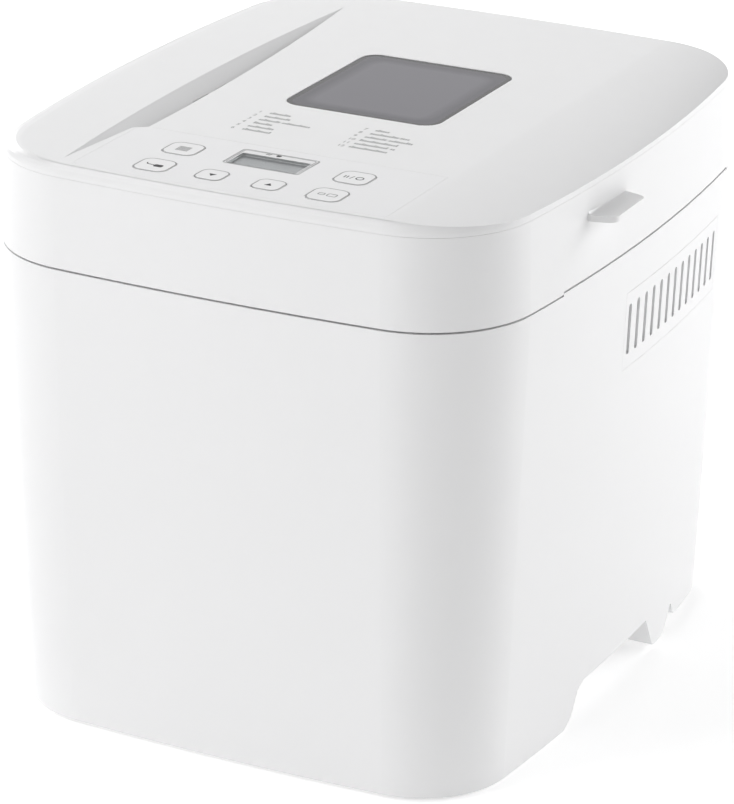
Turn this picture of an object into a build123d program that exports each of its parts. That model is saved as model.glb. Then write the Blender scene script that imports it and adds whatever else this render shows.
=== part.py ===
from build123d import *
from math import atan2, cos, hypot, radians, sin, sqrt
import os

# Bread machine with a lift-up lid, a bayonet-locked pan and a belt-driven kneading paddle.
# Millimetres, +Z up, front towards -Y. The origin is on the surface that the machine stands on,
# under the middle of its bounding box.

# Outer form: a rounded box with bowed sides, widest at the seam between body and lid.
WIDTH = 284.0
DEPTH = 332.0
SEAM_Z = 238.0
TOP_Z = 289.0
FRONT_BOW = 7.0
SIDE_BOW = 12.6
CORNER_RADIUS = 55.0
FRONT_Y = -DEPTH / 2
BODY_DRAFT = 0.036
LID_DRAFT = 0.030

# Walls and parting gaps.
CASING_WALL = 2.8
LID_WALL = 2.6
COVER_WALL = 2.6
SEAM_GAP = 1.0
SEAM_STEP = 1.4
SEAM_STEP_Y = -84.0
FIT_GAP = 0.15
PLAY = 0.3

# Lid top cover: its edge band, its rounding and the fall of its right-hand side.
COVER_BAND = 6.5
COVER_GAP = 0.1
ROUND_LEFT = 11.0
ROUND_BACK = 9.0
ROUND_FRONT = 2.2
ROUND_RIGHT = 1.4
CREASE_X = 87.0
RIGHT_FALL = 4.2
LIP_DEPTH = 5.0
LIP_WALL = 1.8

# Steam recess along the left of the control panel.
PANEL_DEPTH = 72.0
RECESS_FRONT = (-84.4, FRONT_Y + 14.0)
RECESS_JOG = (-79.5, FRONT_Y + PANEL_DEPTH - 5.0)
RECESS_STEP = (-73.0, FRONT_Y + PANEL_DEPTH)
RECESS_INNER_MID = (-75.0, 12.0)
RECESS_REAR = (-85.2, DEPTH / 2 - 34.0)
RECESS_OUTER_MID = (-91.2, -8.0)
RECESS_SLOPE = 0.36
STEAM_SLOT = (3.0, 16.0)
STEAM_SLOT_COUNT = 5
STEAM_SLOT_PITCH = 22.0

# Finger tab on the right of the lid.
TAB_REACH = 11.4
TAB_Y = -41.0
TAB_ROOT = 40.0
TAB_TIP = 33.4
TAB_TOP_Z = 270.0
TAB_THICKNESS = 3.0
TAB_ROOT_RADIUS = 1.8

# Control panel on the lid: film, keys and display.
PANEL_X = 2.5
FILM_BACK_Y = FRONT_Y + PANEL_DEPTH
FILM_LEFT_X = -77.5
FILM_RIGHT_X = 84.0
FILM_FRONT_INSET = 5.0
FILM_THICKNESS = 0.8
KEY_SIZE = 17.2
KEY_RADIUS = 5.0
SMALL_KEY_SIZE = 14.0
SMALL_KEY_RADIUS = 4.4
KEY_GAP = 0.4
KEY_PROUD = 0.15
KEY_TRAVEL = 0.6
KEY_FLANGE = 1.0
KEY_STEM_RADIUS = 2.4
KEY_COLUMN = 44.6
SMALL_KEY_COLUMN = 14.7
UPPER_KEY_Y = FRONT_Y + 50.6
LOWER_KEY_Y = FRONT_Y + 23.7
DISPLAY_SIZE = (40.0, 22.6)
DISPLAY_Y = FRONT_Y + 53.4
DISPLAY_LENS = 1.2
DISPLAY_LEDGE = 0.5
DISPLAY_GLASS = (35.8, 16.4)
DISPLAY_GLASS_Y = FRONT_Y + 51.0
DISPLAY_GLASS_THICKNESS = 1.4
BOARD_Z = 276.0
BOARD_THICKNESS = 1.6
BOARD_SIZE = (124.0, 56.0)
BOARD_Y = FRONT_Y + 39.5
SWITCH_SIZE = 6.0
SWITCH_HEIGHT = 2.2

# Viewing window in the lid.
WINDOW_SIZE = (82.0, 94.0)
WINDOW_RADIUS = 9.0
WINDOW_GLASS = 2.4
WINDOW_SINK = 0.3
WINDOW_LEDGE = 4.0
DUCT_WALL = 2.0
INNER_GLASS_THICKNESS = 4.0
INNER_GLASS_LAP = 3.0
GLASS_SEAL_WIDTH = 3.0

# Lid liner: a flanged sheet-steel dish over the baking chamber.
LINER_SHEET = 0.8
LINER_FLANGE_Z = 245.0
LINER_RISE = 17.0
LINER_MARGIN = 8.0
SHELF_Z = 268.0
SHELF_THICKNESS = 2.5
SHELF_WIDTH = 16.0
BOSS_RADIUS = 4.5
SCREW_RADIUS = 1.5
SCREW_HEAD_RADIUS = 3.2
SCREW_HEAD = 1.6

# Lid hinge on the left wall; the barrels stand out as far as the finger tab does.
HINGE_Y = 70.0
HINGE_RADIUS = 5.0
HINGE_PIN_RADIUS = 2.0
HINGE_RUNNING = 0.06
HINGE_KNUCKLE = 7.4
HINGE_EAR = 8.0
HINGE_GUSSET = 26.0
HINGE_GUSSET_ROOT = 6.0
HINGE_ROWS = (-HINGE_Y, HINGE_Y)

# Baking chamber, its deck and its heat shield.
CHAMBER_LEFT_MARGIN = 58.5
CHAMBER_RIGHT_MARGIN = 49.5
CHAMBER_FRONT_MARGIN = 79.2
CHAMBER_BACK_MARGIN = 46.8
CHAMBER_RADIUS = 28.0
CHAMBER_SHEET = 0.8
CHAMBER_FLOOR_Z = 56.0
CHAMBER_FLANGE = 8.0
DECK_Z = 226.0
DECK_THICKNESS = 3.0
DECK_LIP_TOP = 243.0
DECK_LIP_WALL = 2.2
LEDGE_WIDTH = 6.0
LEDGE_THICKNESS = 3.5
SHIELD_OFFSET = 9.0
SHIELD_SHEET = 0.6
SHIELD_Z = (62.0, 220.0)

# Heating element.
HEATER_RADIUS = 3.3
HEATER_Z = 80.0
HEATER_CLEAR = (7.0, 8.0)
HEATER_BEND = 38.0
HEATER_CLIP_CLEAR = 17.0
HEATER_LEAD_SPACING = 36.0
HEATER_LEAD = 26.0
PROBE_RADIUS = 2.5

# Bread pan.
PAN_CLEAR = (23.0, 20.5)
PAN_RADIUS = 24.0
PAN_WALL = 1.5
PAN_TAPER = 3.0
PAN_FLOOR_Z = 74.0
PAN_RIM_Z = 205.0
PAN_RIM_WIDTH = 4.0
PAN_RIM_DEPTH = 3.0
FOOT_RING_RADIUS = 45.0
FOOT_RING_WALL = 3.0
FOOT_RING_DEPTH = 14.0
SEAT_RIM_WALL = 3.0
SEAT_RIM_TOP = 69.0
SEAT_BASE = 2.0
BAYONET_COUNT = 3
BAYONET_LUG_ANGLE = 12.0
BAYONET_TWIST = 12.0
BAYONET_CLEAR_ANGLE = 3.0
BAYONET_Z = (62.6, 65.4)
BAYONET_PROUD = 2.4
BAIL_PIVOT_Z = 195.0
BAIL_ARM = 58.0
BAIL_WIRE_RADIUS = 2.0
BAIL_BEND = 8.0
BAIL_LUG = (16.0, 14.0)
BAIL_LUG_THICKNESS = 5.0

# Paddle, shafts and couplings.
SHAFT_RADIUS = 4.0
SHAFT_RUNNING = 0.05
PAN_SHAFT_Z = (65.0, 100.0)
BUSH_RADIUS = 10.0
BUSH_FLANGE_RADIUS = 16.0
BUSH_TOP_Z = 80.0
SEAL_HEIGHT = 2.0
PADDLE_HUB_RADIUS = 8.0
PADDLE_Z = (82.6, 104.0)
PADDLE_CLEAR = 13.0
PADDLE_BLADE_HEIGHT = 19.0
PADDLE_BLADE_THICKNESS = 5.0
DOG_RADIUS = 13.5
DOG_LUG_WIDTH = 6.0
DOG_Z = (62.5, 64.5)
DOG_LUG_TOP = 70.0
WING_WIDTH = 4.0
WING_Z = (65.2, 70.6)

# Belt drive under the chassis plate.
MOTOR_CENTRE = (80.0 - WIDTH / 2, FRONT_Y + 39.0)
MOTOR_RADIUS = 26.0
MOTOR_Z = (62.0, 130.0)
MOTOR_SHAFT_RADIUS = 3.0
BIG_GROOVE_RADIUS = 39.0
SMALL_GROOVE_RADIUS = 8.6
PULLEY_Z = (36.0, 46.0)
PULLEY_FLANGE = 2.0
PULLEY_FLANGE_HEIGHT = 3.0
BELT_THICKNESS = 2.4
BELT_WIDTH = 5.0
HUB_RADIUS = 9.0

# Base, chassis and feet.
CASING_FOOT_Z = 2.0
BASE_Z = 25.0
BASE_THICKNESS = 2.5
FOOT_INSET = 54.0
FOOT_RADIUS = 10.0
FOOT_HEIGHT = 4.0
FOOT_BOSS_RADIUS = 13.0
FOOT_STEM_RADIUS = 4.0
CHASSIS_Z = 50.0
CHASSIS_SHEET = 1.5
CHASSIS_X = (42.0 - WIDTH / 2, WIDTH / 2 - 38.0)
CHASSIS_Y = (FRONT_Y + 17.0, DEPTH / 2 - 40.0)
CHASSIS_LEG = 16.0
CHASSIS_POST_INSET = (28.0, 19.0)

# Electrical parts on the chassis.
CAPACITOR_CENTRE = (2.0, FRONT_Y + 38.0)
CAPACITOR_RADIUS = 13.0
CAPACITOR_HEIGHT = 44.0
POWER_BOARD = (62.0, FRONT_Y + 39.0)
POWER_BOARD_SIZE = (76.0, 46.0)
POWER_BOARD_LIFT = 8.0
POWER_POST_INSET = 6.0
FUSE_OFFSET = (60.0, -70.0)
FUSE_SIZE = (22.0, 10.0)

# Hand holds and openings in the casing.
GRIP_FRONT_Y = -54.0
GRIP_TOP_Z = 22.0
GRIP_REAR_Y = 58.0
FOOT_WEB = 2.5
FOOT_WEB_REACH = 16.0
REAR_FOOT_Y = (59.0, 77.0)
REAR_EDGE_Z = 7.0
VENT_Y = (-15.5, 110.0)
VENT_Z = (177.5, 217.0)
VENT_SLOT_Z = (184.5, 210.5)
VENT_SLOT_COUNT = 13
VENT_SLOT_WIDTH = 3.4
VENT_SLOT_PITCH = 9.6
VENT_FIRST_Y = -10.3
VENT_THICKNESS = 1.6
VENT_BACKING = 1.2
GLAND_X = 70.0
GLAND_Z = 38.0
GLAND_RADIUS = 7.0
GLAND_FLANGE = 2.5
CORD_RADIUS = 3.6

# Worked-out sizes.
CHAMBER_SIZE = (WIDTH - CHAMBER_LEFT_MARGIN - CHAMBER_RIGHT_MARGIN,
                DEPTH - CHAMBER_FRONT_MARGIN - CHAMBER_BACK_MARGIN)
CHAMBER_CENTRE = ((CHAMBER_LEFT_MARGIN - CHAMBER_RIGHT_MARGIN) / 2,
                  (CHAMBER_FRONT_MARGIN - CHAMBER_BACK_MARGIN) / 2)
WINDOW_CENTRE = CHAMBER_CENTRE
DRIVE_CENTRE = CHAMBER_CENTRE
HEATER_LOOP = (CHAMBER_SIZE[0] - 2 * HEATER_CLEAR[0], CHAMBER_SIZE[1] - 2 * HEATER_CLEAR[1])
PAN_SIZE = (CHAMBER_SIZE[0] - 2 * PAN_CLEAR[0], CHAMBER_SIZE[1] - 2 * PAN_CLEAR[1])
PADDLE_LENGTH = min(PAN_SIZE) / 2 - PADDLE_CLEAR
FOOT_PLACE = (WIDTH / 2 - FOOT_INSET, DEPTH / 2 - FOOT_INSET)
FRONT_RADIUS = (WIDTH ** 2 / 4 + FRONT_BOW ** 2) / (2 * FRONT_BOW)
SIDE_RADIUS = (DEPTH ** 2 / 4 + SIDE_BOW ** 2) / (2 * SIDE_BOW)
SKIRT_TOP_Z = TOP_Z - COVER_BAND - COVER_GAP / 2
COVER_FOOT_Z = TOP_Z - COVER_BAND + COVER_GAP / 2
CAVITY_TOP_Z = TOP_Z - COVER_WALL
FILM_Z = TOP_Z - FILM_THICKNESS
LINER_TOP_Z = LINER_FLANGE_Z + LINER_RISE
RIM_Z = SEAM_Z - SEAM_GAP / 2
SKIRT_FOOT_Z = SEAM_Z + SEAM_GAP / 2
CHASSIS_TOP_Z = CHASSIS_Z + CHASSIS_SHEET
POWER_BOARD_Z = CHASSIS_TOP_Z + POWER_BOARD_LIFT
HINGE_X = -(WIDTH / 2 - LID_DRAFT * (TAB_TOP_Z - SEAM_Z) + TAB_REACH - HINGE_RADIUS)

SIDES = ("right", "back", "left", "front")
QUADRANTS = ((1, 1), (-1, 1), (-1, -1), (1, -1))


# ---------------------------------------------------------------- plan outlines

def side_circle(side, inset):
    """Centre and radius of the plan arc on one side, drawn in by inset."""
    if side in ("front", "back"):
        reach = FRONT_RADIUS - DEPTH / 2
        return Vector(0, reach if side == "front" else -reach), FRONT_RADIUS - inset
    reach = SIDE_RADIUS - WIDTH / 2
    return Vector(-reach if side == "right" else reach, 0), SIDE_RADIUS - inset


def crossing(a, radius_a, b, radius_b, quadrant):
    """Crossing of two circles that lies in the given quadrant."""
    gap = b - a
    along = (radius_a ** 2 - radius_b ** 2 + gap.length ** 2) / (2 * gap.length)
    off = sqrt(radius_a ** 2 - along ** 2)
    ahead = gap.normalized()
    beside = Vector(-ahead.Y, ahead.X)
    options = [a + ahead * along + beside * off, a + ahead * along - beside * off]
    return [p for p in options if p.X * quadrant[0] > 0 and p.Y * quadrant[1] > 0][0]


def arc_about(centre, radius, start, end, z):
    """Arc round a centre, between the directions of two points."""
    first = (start - centre).normalized()
    last = (end - centre).normalized()
    middle = (first + last).normalized()
    points = [centre + way * radius + Vector(0, 0, z) for way in (first, middle, last)]
    return Edge.make_three_point_arc(*points)


def plan_corner(first, second, quadrant, insets):
    """Centre, radius and two tangent points of the rounding between two sides."""
    a, radius_a = side_circle(first, insets[first])
    b, radius_b = side_circle(second, insets[second])
    radius = CORNER_RADIUS - (insets[first] + insets[second]) / 2
    centre = crossing(a, radius_a - radius, b, radius_b - radius, quadrant)
    on_a = a + (centre - a).normalized() * radius_a
    on_b = b + (centre - b).normalized() * radius_b
    return centre, radius, on_a, on_b


def plan_face(inset, z, **extra):
    """Plan outline drawn in by inset, and by more on the sides named in extra."""
    insets = {side: inset + extra.get(side, 0) for side in SIDES}
    corners = []
    for i, quadrant in enumerate(QUADRANTS):
        corners.append(plan_corner(SIDES[i], SIDES[(i + 1) % 4], quadrant, insets))
    edges = []
    for i, (centre, radius, on_a, on_b) in enumerate(corners):
        edges.append(arc_about(centre, radius, on_a, on_b, z))
        side = SIDES[(i + 1) % 4]
        middle, side_radius = side_circle(side, insets[side])
        edges.append(arc_about(middle, side_radius, on_b, corners[(i + 1) % 4][2], z))
    return Face(Wire(edges))


def body_inset(z):
    return BODY_DRAFT * (SEAM_Z - z)


def lid_inset(z):
    return LID_DRAFT * (z - SEAM_Z)


def drafted(z0, z1, inset_at, inset=0.0):
    """Solid between two heights whose walls follow the body's or the lid's draft."""
    return loft([plan_face(inset_at(z0) + inset, z0), plan_face(inset_at(z1) + inset, z1)], ruled=True)


def drafted_ring(z0, z1, inset_at, outer, width):
    return drafted(z0, z1, inset_at, outer) - drafted(z0 - 1, z1 + 1, inset_at, outer + width)


def inset_point(quadrant, inset):
    """Point on a corner's diagonal, a given distance in from the seam outline."""
    insets = dict.fromkeys(SIDES, 0.0)
    sides = ("right" if quadrant[0] > 0 else "left", "back" if quadrant[1] > 0 else "front")
    centre, radius, _, _ = plan_corner(*sides, quadrant, insets)
    point = centre + Vector(*quadrant).normalized() * (radius - inset)
    return point.X, point.Y


# ---------------------------------------------------------------- small shapes

def block(x0, x1, y0, y1, z0, z1):
    """Box between two corners."""
    return Pos((x0 + x1) / 2, (y0 + y1) / 2, (z0 + z1) / 2) * Box(x1 - x0, y1 - y0, z1 - z0)


def rod(centre, radius, z0, z1):
    """Upright cylinder."""
    return Pos(centre[0], centre[1], (z0 + z1) / 2) * Cylinder(radius, z1 - z0)


def tube(centre, radius, bore, z0, z1):
    return rod(centre, radius, z0, z1) - rod(centre, bore, z0 - 1, z1 + 1)


def slab(centre, size, radius, z0, z1):
    """Upright prism with a rounded rectangular plan."""
    outline = RectangleRounded(size[0], size[1], radius)
    return Pos(centre[0], centre[1], z0) * extrude(outline, z1 - z0)


def frame_slab(centre, size, radius, wall, z0, z1):
    """Upright rectangular tube; size is its opening."""
    outer = slab(centre, (size[0] + 2 * wall, size[1] + 2 * wall), radius + wall, z0, z1)
    return outer - slab(centre, size, radius, z0 - 1, z1 + 1)


def rod_along(axis, centre, radius, start, end):
    """Cylinder lying along X or Y, between two coordinates on that axis."""
    middle = (start + end) / 2
    if axis == "X":
        return Pos(middle, centre[0], centre[1]) * Rot(0, 90, 0) * Cylinder(radius, end - start)
    return Pos(centre[0], middle, centre[1]) * Rot(90, 0, 0) * Cylinder(radius, end - start)


def grown(size, by):
    return (size[0] + 2 * by, size[1] + 2 * by)


def feet_places():
    return [(x * FOOT_PLACE[0], y * FOOT_PLACE[1]) for y in (-1, 1) for x in (-1, 1)]


def screw(centre, z_head, length):
    """Pan-head screw put in from below; z_head is the underside of what it holds."""
    head = rod(centre, SCREW_HEAD_RADIUS, z_head - SCREW_HEAD, z_head)
    return head + rod(centre, SCREW_RADIUS, z_head, z_head + length)


# ---------------------------------------------------------------- body: casing, base and deck

def grip_rear_edge():
    """Points down the rear end of the hand hold, from its top to the foot."""
    return [(GRIP_REAR_Y - 16, GRIP_TOP_Z), (GRIP_REAR_Y - 7, CASING_FOOT_Z + 6),
            (GRIP_REAR_Y - 3.5, CASING_FOOT_Z + 1), (GRIP_REAR_Y, CASING_FOOT_Z)]


def grip_cut(side):
    """Hand hold and shaped rear foot along the casing's lower edge, on one side."""
    low = -5.0
    front_top = GRIP_FRONT_Y + 13
    hold = Polyline(
        (GRIP_FRONT_Y, low), (GRIP_FRONT_Y, CASING_FOOT_Z), (GRIP_FRONT_Y + 7, CASING_FOOT_Z + 5),
        (front_top, GRIP_TOP_Z - 3), (front_top + 6, GRIP_TOP_Z), *grip_rear_edge(),
        (GRIP_REAR_Y, low), close=True)
    foot_y0, foot_y1 = REAR_FOOT_Y
    rear = Polyline(
        (foot_y0 + 4, low), (foot_y0 + 4, CASING_FOOT_Z), (foot_y0 + 9, CASING_FOOT_Z + 0.5),
        (foot_y0 + 12.5, CASING_FOOT_Z + 2), (foot_y1 - 2.5, CASING_FOOT_Z + 5.5),
        (foot_y1, CASING_FOOT_Z + 10.5), (foot_y1 + 2, CASING_FOOT_Z + 13.5),
        (foot_y1 + 3.5, CASING_FOOT_Z + 13.5), (foot_y1 + 5, REAR_EDGE_Z + 4),
        (foot_y1 + 8, REAR_EDGE_Z + 1), (foot_y1 + 13, REAR_EDGE_Z), (DEPTH, REAR_EDGE_Z),
        (DEPTH, low), close=True)
    reach = WIDTH
    cuts = []
    for outline in (hold, rear):
        face = Plane.YZ * make_face(outline)
        cuts.append(extrude(face, reach if side > 0 else -reach))
    return cuts[0] + cuts[1]


def foot_web(side):
    """Wall inside the casing that closes the rear end of a hand hold."""
    front = grip_rear_edge()
    back = [(y + FOOT_WEB, z) for y, z in reversed(front)]
    face = Plane.YZ * make_face(Polyline(*front, *back, close=True))
    web = extrude(face, WIDTH if side > 0 else -WIDTH)
    return web & drafted_ring(CASING_FOOT_Z, GRIP_TOP_Z, body_inset, CASING_WALL / 2, FOOT_WEB_REACH)


def vent_block(clear):
    """Block that holds the vent panel's place in the right wall."""
    return block(WIDTH / 4, WIDTH, VENT_Y[0] - clear, VENT_Y[1] + clear,
                 VENT_Z[0] - clear, VENT_Z[1] + clear)


def seam_step_block(z0, z1):
    """Part of the right wall where body and lid meet a little higher."""
    return block(WIDTH / 4, WIDTH, SEAM_STEP_Y, DEPTH * 0.36, z0, z1)


def body_casing():
    top = RIM_Z + SEAM_STEP
    shell = drafted(CASING_FOOT_Z, top, body_inset)
    shell -= drafted(CASING_FOOT_Z - 1, top + 1, body_inset, CASING_WALL)
    spare = block(-WIDTH, WIDTH, -DEPTH, DEPTH, RIM_Z, top + 1)
    shell -= spare - seam_step_block(RIM_Z - 1, top + 2)
    shell += drafted_ring(DECK_Z - LEDGE_THICKNESS, DECK_Z, body_inset, CASING_WALL / 2,
                          LEDGE_WIDTH + CASING_WALL / 2)
    shell += drafted_ring(BASE_Z + BASE_THICKNESS, BASE_Z + BASE_THICKNESS + LEDGE_THICKNESS, body_inset,
                          CASING_WALL / 2, LEDGE_WIDTH + CASING_WALL / 2)
    for place in base_screw_places():
        shell -= rod(place, SCREW_RADIUS, BASE_Z, BASE_Z + BASE_THICKNESS + LEDGE_THICKNESS + 1)
    shell -= grip_cut(1)
    shell -= grip_cut(-1)
    shell += foot_web(1)
    shell += foot_web(-1)
    shell -= vent_block(FIT_GAP)
    shell -= rod_along("Y", (GLAND_X, GLAND_Z), GLAND_RADIUS, 0, DEPTH)
    shell += vent_baffle()
    for y in HINGE_ROWS:
        shell += body_hinge_ears(y)
    return shell


def vent_grille():
    """Slotted panel let into the right wall, flush with it."""
    panel = drafted_ring(VENT_Z[0], VENT_Z[1], body_inset, 0, VENT_THICKNESS) & vent_block(0)
    for i in range(VENT_SLOT_COUNT):
        y = VENT_FIRST_Y + i * VENT_SLOT_PITCH
        half = VENT_SLOT_WIDTH / 2
        panel -= block(WIDTH / 4, WIDTH, y - half, y + half, VENT_SLOT_Z[0] + half, VENT_SLOT_Z[1] - half)
        for z in (VENT_SLOT_Z[0] + half, VENT_SLOT_Z[1] - half):
            panel -= rod_along("X", (y, z), half, WIDTH / 4, WIDTH)
    return panel


def vent_baffle():
    """Plate inside the casing that backs the vent, leaving an air path round it."""
    z0, z1 = VENT_Z[0] - 7, VENT_Z[1] + 2
    stand = CASING_WALL + VENT_BACKING
    plate = drafted_ring(z0, z1, body_inset, stand, 1.6)
    plate &= block(WIDTH / 4, WIDTH, VENT_Y[0] - 6, VENT_Y[1] + 6, z0, z1)
    foot = drafted_ring(z0, z0 + 2, body_inset, CASING_WALL / 2, 3.2 + CASING_WALL / 2)
    return plate + (foot & block(WIDTH / 4, WIDTH, VENT_Y[0] - 6, VENT_Y[1] + 6, z0, z0 + 2))


def base_tray():
    tray = drafted(BASE_Z, BASE_Z + BASE_THICKNESS, body_inset, CASING_WALL + PLAY)
    for place in feet_places():
        tray += rod(place, FOOT_BOSS_RADIUS, FOOT_HEIGHT, BASE_Z)
        tray -= rod(place, FOOT_STEM_RADIUS, 0, BASE_Z - 4)
    for i in range(7):
        tray -= slab((-54 + i * 18, 96), (4, 44), 1.9, BASE_Z - 1, BASE_Z + BASE_THICKNESS + 1)
    for place in base_screw_places():
        tray -= rod(place, SCREW_RADIUS + 0.1, BASE_Z - 1, BASE_Z + BASE_THICKNESS + 1)
    return tray


def rubber_foot(place):
    stem = rod(place, FOOT_STEM_RADIUS, FOOT_HEIGHT, FOOT_HEIGHT + 8)
    return rod(place, FOOT_RADIUS, 0, FOOT_HEIGHT) + stem


def base_screw_places():
    """Under the casing's lower ledge, at its four corners, heads clear of the wall."""
    inset = body_inset(BASE_Z) + CASING_WALL + PLAY + SCREW_HEAD_RADIUS
    return [inset_point(quadrant, inset) for quadrant in QUADRANTS]


def base_screws():
    """Four screws that hold the base tray to the casing's lower ledge."""
    length = BASE_THICKNESS + LEDGE_THICKNESS - 0.5
    return [screw(place, BASE_Z, length) for place in base_screw_places()]


def top_deck():
    """Plastic deck round the chamber's mouth, with the lip that the lid closes over."""
    deck = drafted(DECK_Z, DECK_Z + DECK_THICKNESS, body_inset, CASING_WALL + PLAY)
    mouth = grown(CHAMBER_SIZE, CHAMBER_SHEET + 0.5)
    deck -= slab(CHAMBER_CENTRE, mouth, CHAMBER_RADIUS + 1.3, DECK_Z - 1, DECK_Z + DECK_THICKNESS + 1)
    lip_inset = CASING_WALL + 1.0
    lip = loft([plan_face(body_inset(DECK_Z) + lip_inset, DECK_Z + DECK_THICKNESS),
                plan_face(lid_inset(DECK_LIP_TOP) + lip_inset, DECK_LIP_TOP)], ruled=True)
    hollow = loft([plan_face(body_inset(DECK_Z) + lip_inset + DECK_LIP_WALL, DECK_Z + DECK_THICKNESS),
                   plan_face(lid_inset(DECK_LIP_TOP) + lip_inset + DECK_LIP_WALL, DECK_LIP_TOP)], ruled=True)
    return deck + (lip - hollow)


def cord_gland():
    """Bushing in the rear wall where the supply lead enters."""
    wall_y = rear_wall_y(GLAND_X, GLAND_Z)
    gland = rod_along("Y", (GLAND_X, GLAND_Z), GLAND_RADIUS - 0.1, wall_y - CASING_WALL - 6, wall_y + 1.0)
    reach = GLAND_RADIUS + GLAND_FLANGE
    flange = rod_along("Y", (GLAND_X, GLAND_Z), reach, wall_y - 1, wall_y + 2.2)
    gland += flange - drafted(GLAND_Z - reach - 1, GLAND_Z + reach + 1, body_inset)
    return gland - rod_along("Y", (GLAND_X, GLAND_Z), CORD_RADIUS, 0, DEPTH)


def rear_wall_y(x, z):
    """Outer face of the rear wall at a place."""
    centre, radius = side_circle("back", body_inset(z))
    return centre.Y + sqrt(radius ** 2 - (x - centre.X) ** 2)


# ---------------------------------------------------------------- lid

def right_fall(drop):
    """Space above the curved fall of the cover's right side, lowered by drop."""
    end_x = WIDTH / 2
    level = TOP_Z - drop
    mid_x = (CREASE_X + end_x) / 2
    start = (CREASE_X, level)
    middle = (mid_x, level - RIGHT_FALL * 0.38)
    end = (end_x, level - RIGHT_FALL)
    high = TOP_Z + 20
    edges = ThreePointArc(start, middle, end)
    edges += Polyline(end, (end_x + 20, level - RIGHT_FALL - 3), (end_x + 20, high), (CREASE_X, high), start)
    face = Plane.XZ * make_face(edges)
    return Pos(0, DEPTH, 0) * extrude(face, 2 * DEPTH)


def cover_solid():
    """Outer form of the lid's top cover, rounded most on its left and back."""
    steps = 5
    height = TOP_Z - COVER_FOOT_Z
    sections = []
    for i in range(steps + 1):
        angle = radians(90 * i / steps)
        across = 1 - cos(angle)
        rise = sin(angle)
        sections.append(plan_face(
            lid_inset(COVER_FOOT_Z), COVER_FOOT_Z + height * rise, left=ROUND_LEFT * across,
            back=ROUND_BACK * across, front=ROUND_FRONT * across, right=ROUND_RIGHT * across))
    return loft(sections, ruled=True) - right_fall(0)


def recess_outline(grow=0.0):
    """Lens-shaped plan of the steam recess, with a small jog near its front."""
    edges = Polyline(RECESS_FRONT, RECESS_JOG, RECESS_STEP)
    edges += ThreePointArc(RECESS_STEP, RECESS_INNER_MID, RECESS_REAR)
    edges += ThreePointArc(RECESS_REAR, RECESS_OUTER_MID, RECESS_FRONT)
    face = make_face(edges)
    return offset(face, grow) if grow else face


def recess_cone(drop):
    """Cone whose top edge is the recess's outer edge, so that its wall slopes inwards."""
    chord = hypot(RECESS_REAR[0] - RECESS_FRONT[0], RECESS_REAR[1] - RECESS_FRONT[1])
    middle_x = (RECESS_REAR[0] + RECESS_FRONT[0]) / 2
    rise = middle_x - RECESS_OUTER_MID[0]
    radius = (chord ** 2 / 4 + rise ** 2) / (2 * rise)
    depth = 20.0
    top = TOP_Z - drop
    centre = (RECESS_OUTER_MID[0] + radius, (RECESS_REAR[1] + RECESS_FRONT[1]) / 2)
    return Pos(centre[0], centre[1], top - depth / 2) * Cone(radius - depth / RECESS_SLOPE, radius, depth)


def steam_recess():
    prism = Pos(0, 0, TOP_Z - 19) * extrude(recess_outline(), 19)
    return prism & recess_cone(0)


def recess_backing():
    """Thickening under the steam recess."""
    prism = Pos(0, 0, TOP_Z - 12) * extrude(recess_outline(2.4), 12 - COVER_WALL / 2)
    return prism & recess_cone(COVER_WALL)


def steam_slots():
    """Slots through the recess's inner wall and floor, below the panel's edge."""
    first = RECESS_INNER_MID[1] - STEAM_SLOT_PITCH * (STEAM_SLOT_COUNT - 1) / 2
    width, length = STEAM_SLOT
    x = RECESS_INNER_MID[0] - width - 0.8
    cuts = [slab((x, first + i * STEAM_SLOT_PITCH), (width, length), width * 0.45, TOP_Z - 14, TOP_Z - 1)
            for i in range(STEAM_SLOT_COUNT)]
    return sum(cuts[1:], cuts[0])


def key_places():
    """Name, plan centre, side and corner radius of each key."""
    left, right = PANEL_X - KEY_COLUMN, PANEL_X + KEY_COLUMN
    small_left, small_right = PANEL_X - SMALL_KEY_COLUMN, PANEL_X + SMALL_KEY_COLUMN
    big = (KEY_SIZE, KEY_RADIUS)
    small = (SMALL_KEY_SIZE, SMALL_KEY_RADIUS)
    return (("menu_key", (left, UPPER_KEY_Y), *big), ("crust_key", (left, LOWER_KEY_Y), *big),
            ("time_down_key", (small_left, LOWER_KEY_Y), *small),
            ("time_up_key", (small_right, LOWER_KEY_Y), *small),
            ("start_stop_key", (right, UPPER_KEY_Y), *big), ("loaf_size_key", (right, LOWER_KEY_Y), *big))


def film_solid(clear):
    """Space of the printed control film, less a clearance all round."""
    bounds = block(FILM_LEFT_X + clear, FILM_RIGHT_X - clear, -DEPTH, FILM_BACK_Y - clear, FILM_Z, TOP_Z)
    field = extrude(plan_face(lid_inset(TOP_Z) + FILM_FRONT_INSET + clear, FILM_Z), FILM_THICKNESS)
    return (field & bounds) - (Pos(0, 0, FILM_Z - 1) * extrude(recess_outline(2.0), FILM_THICKNESS + 2))


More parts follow.
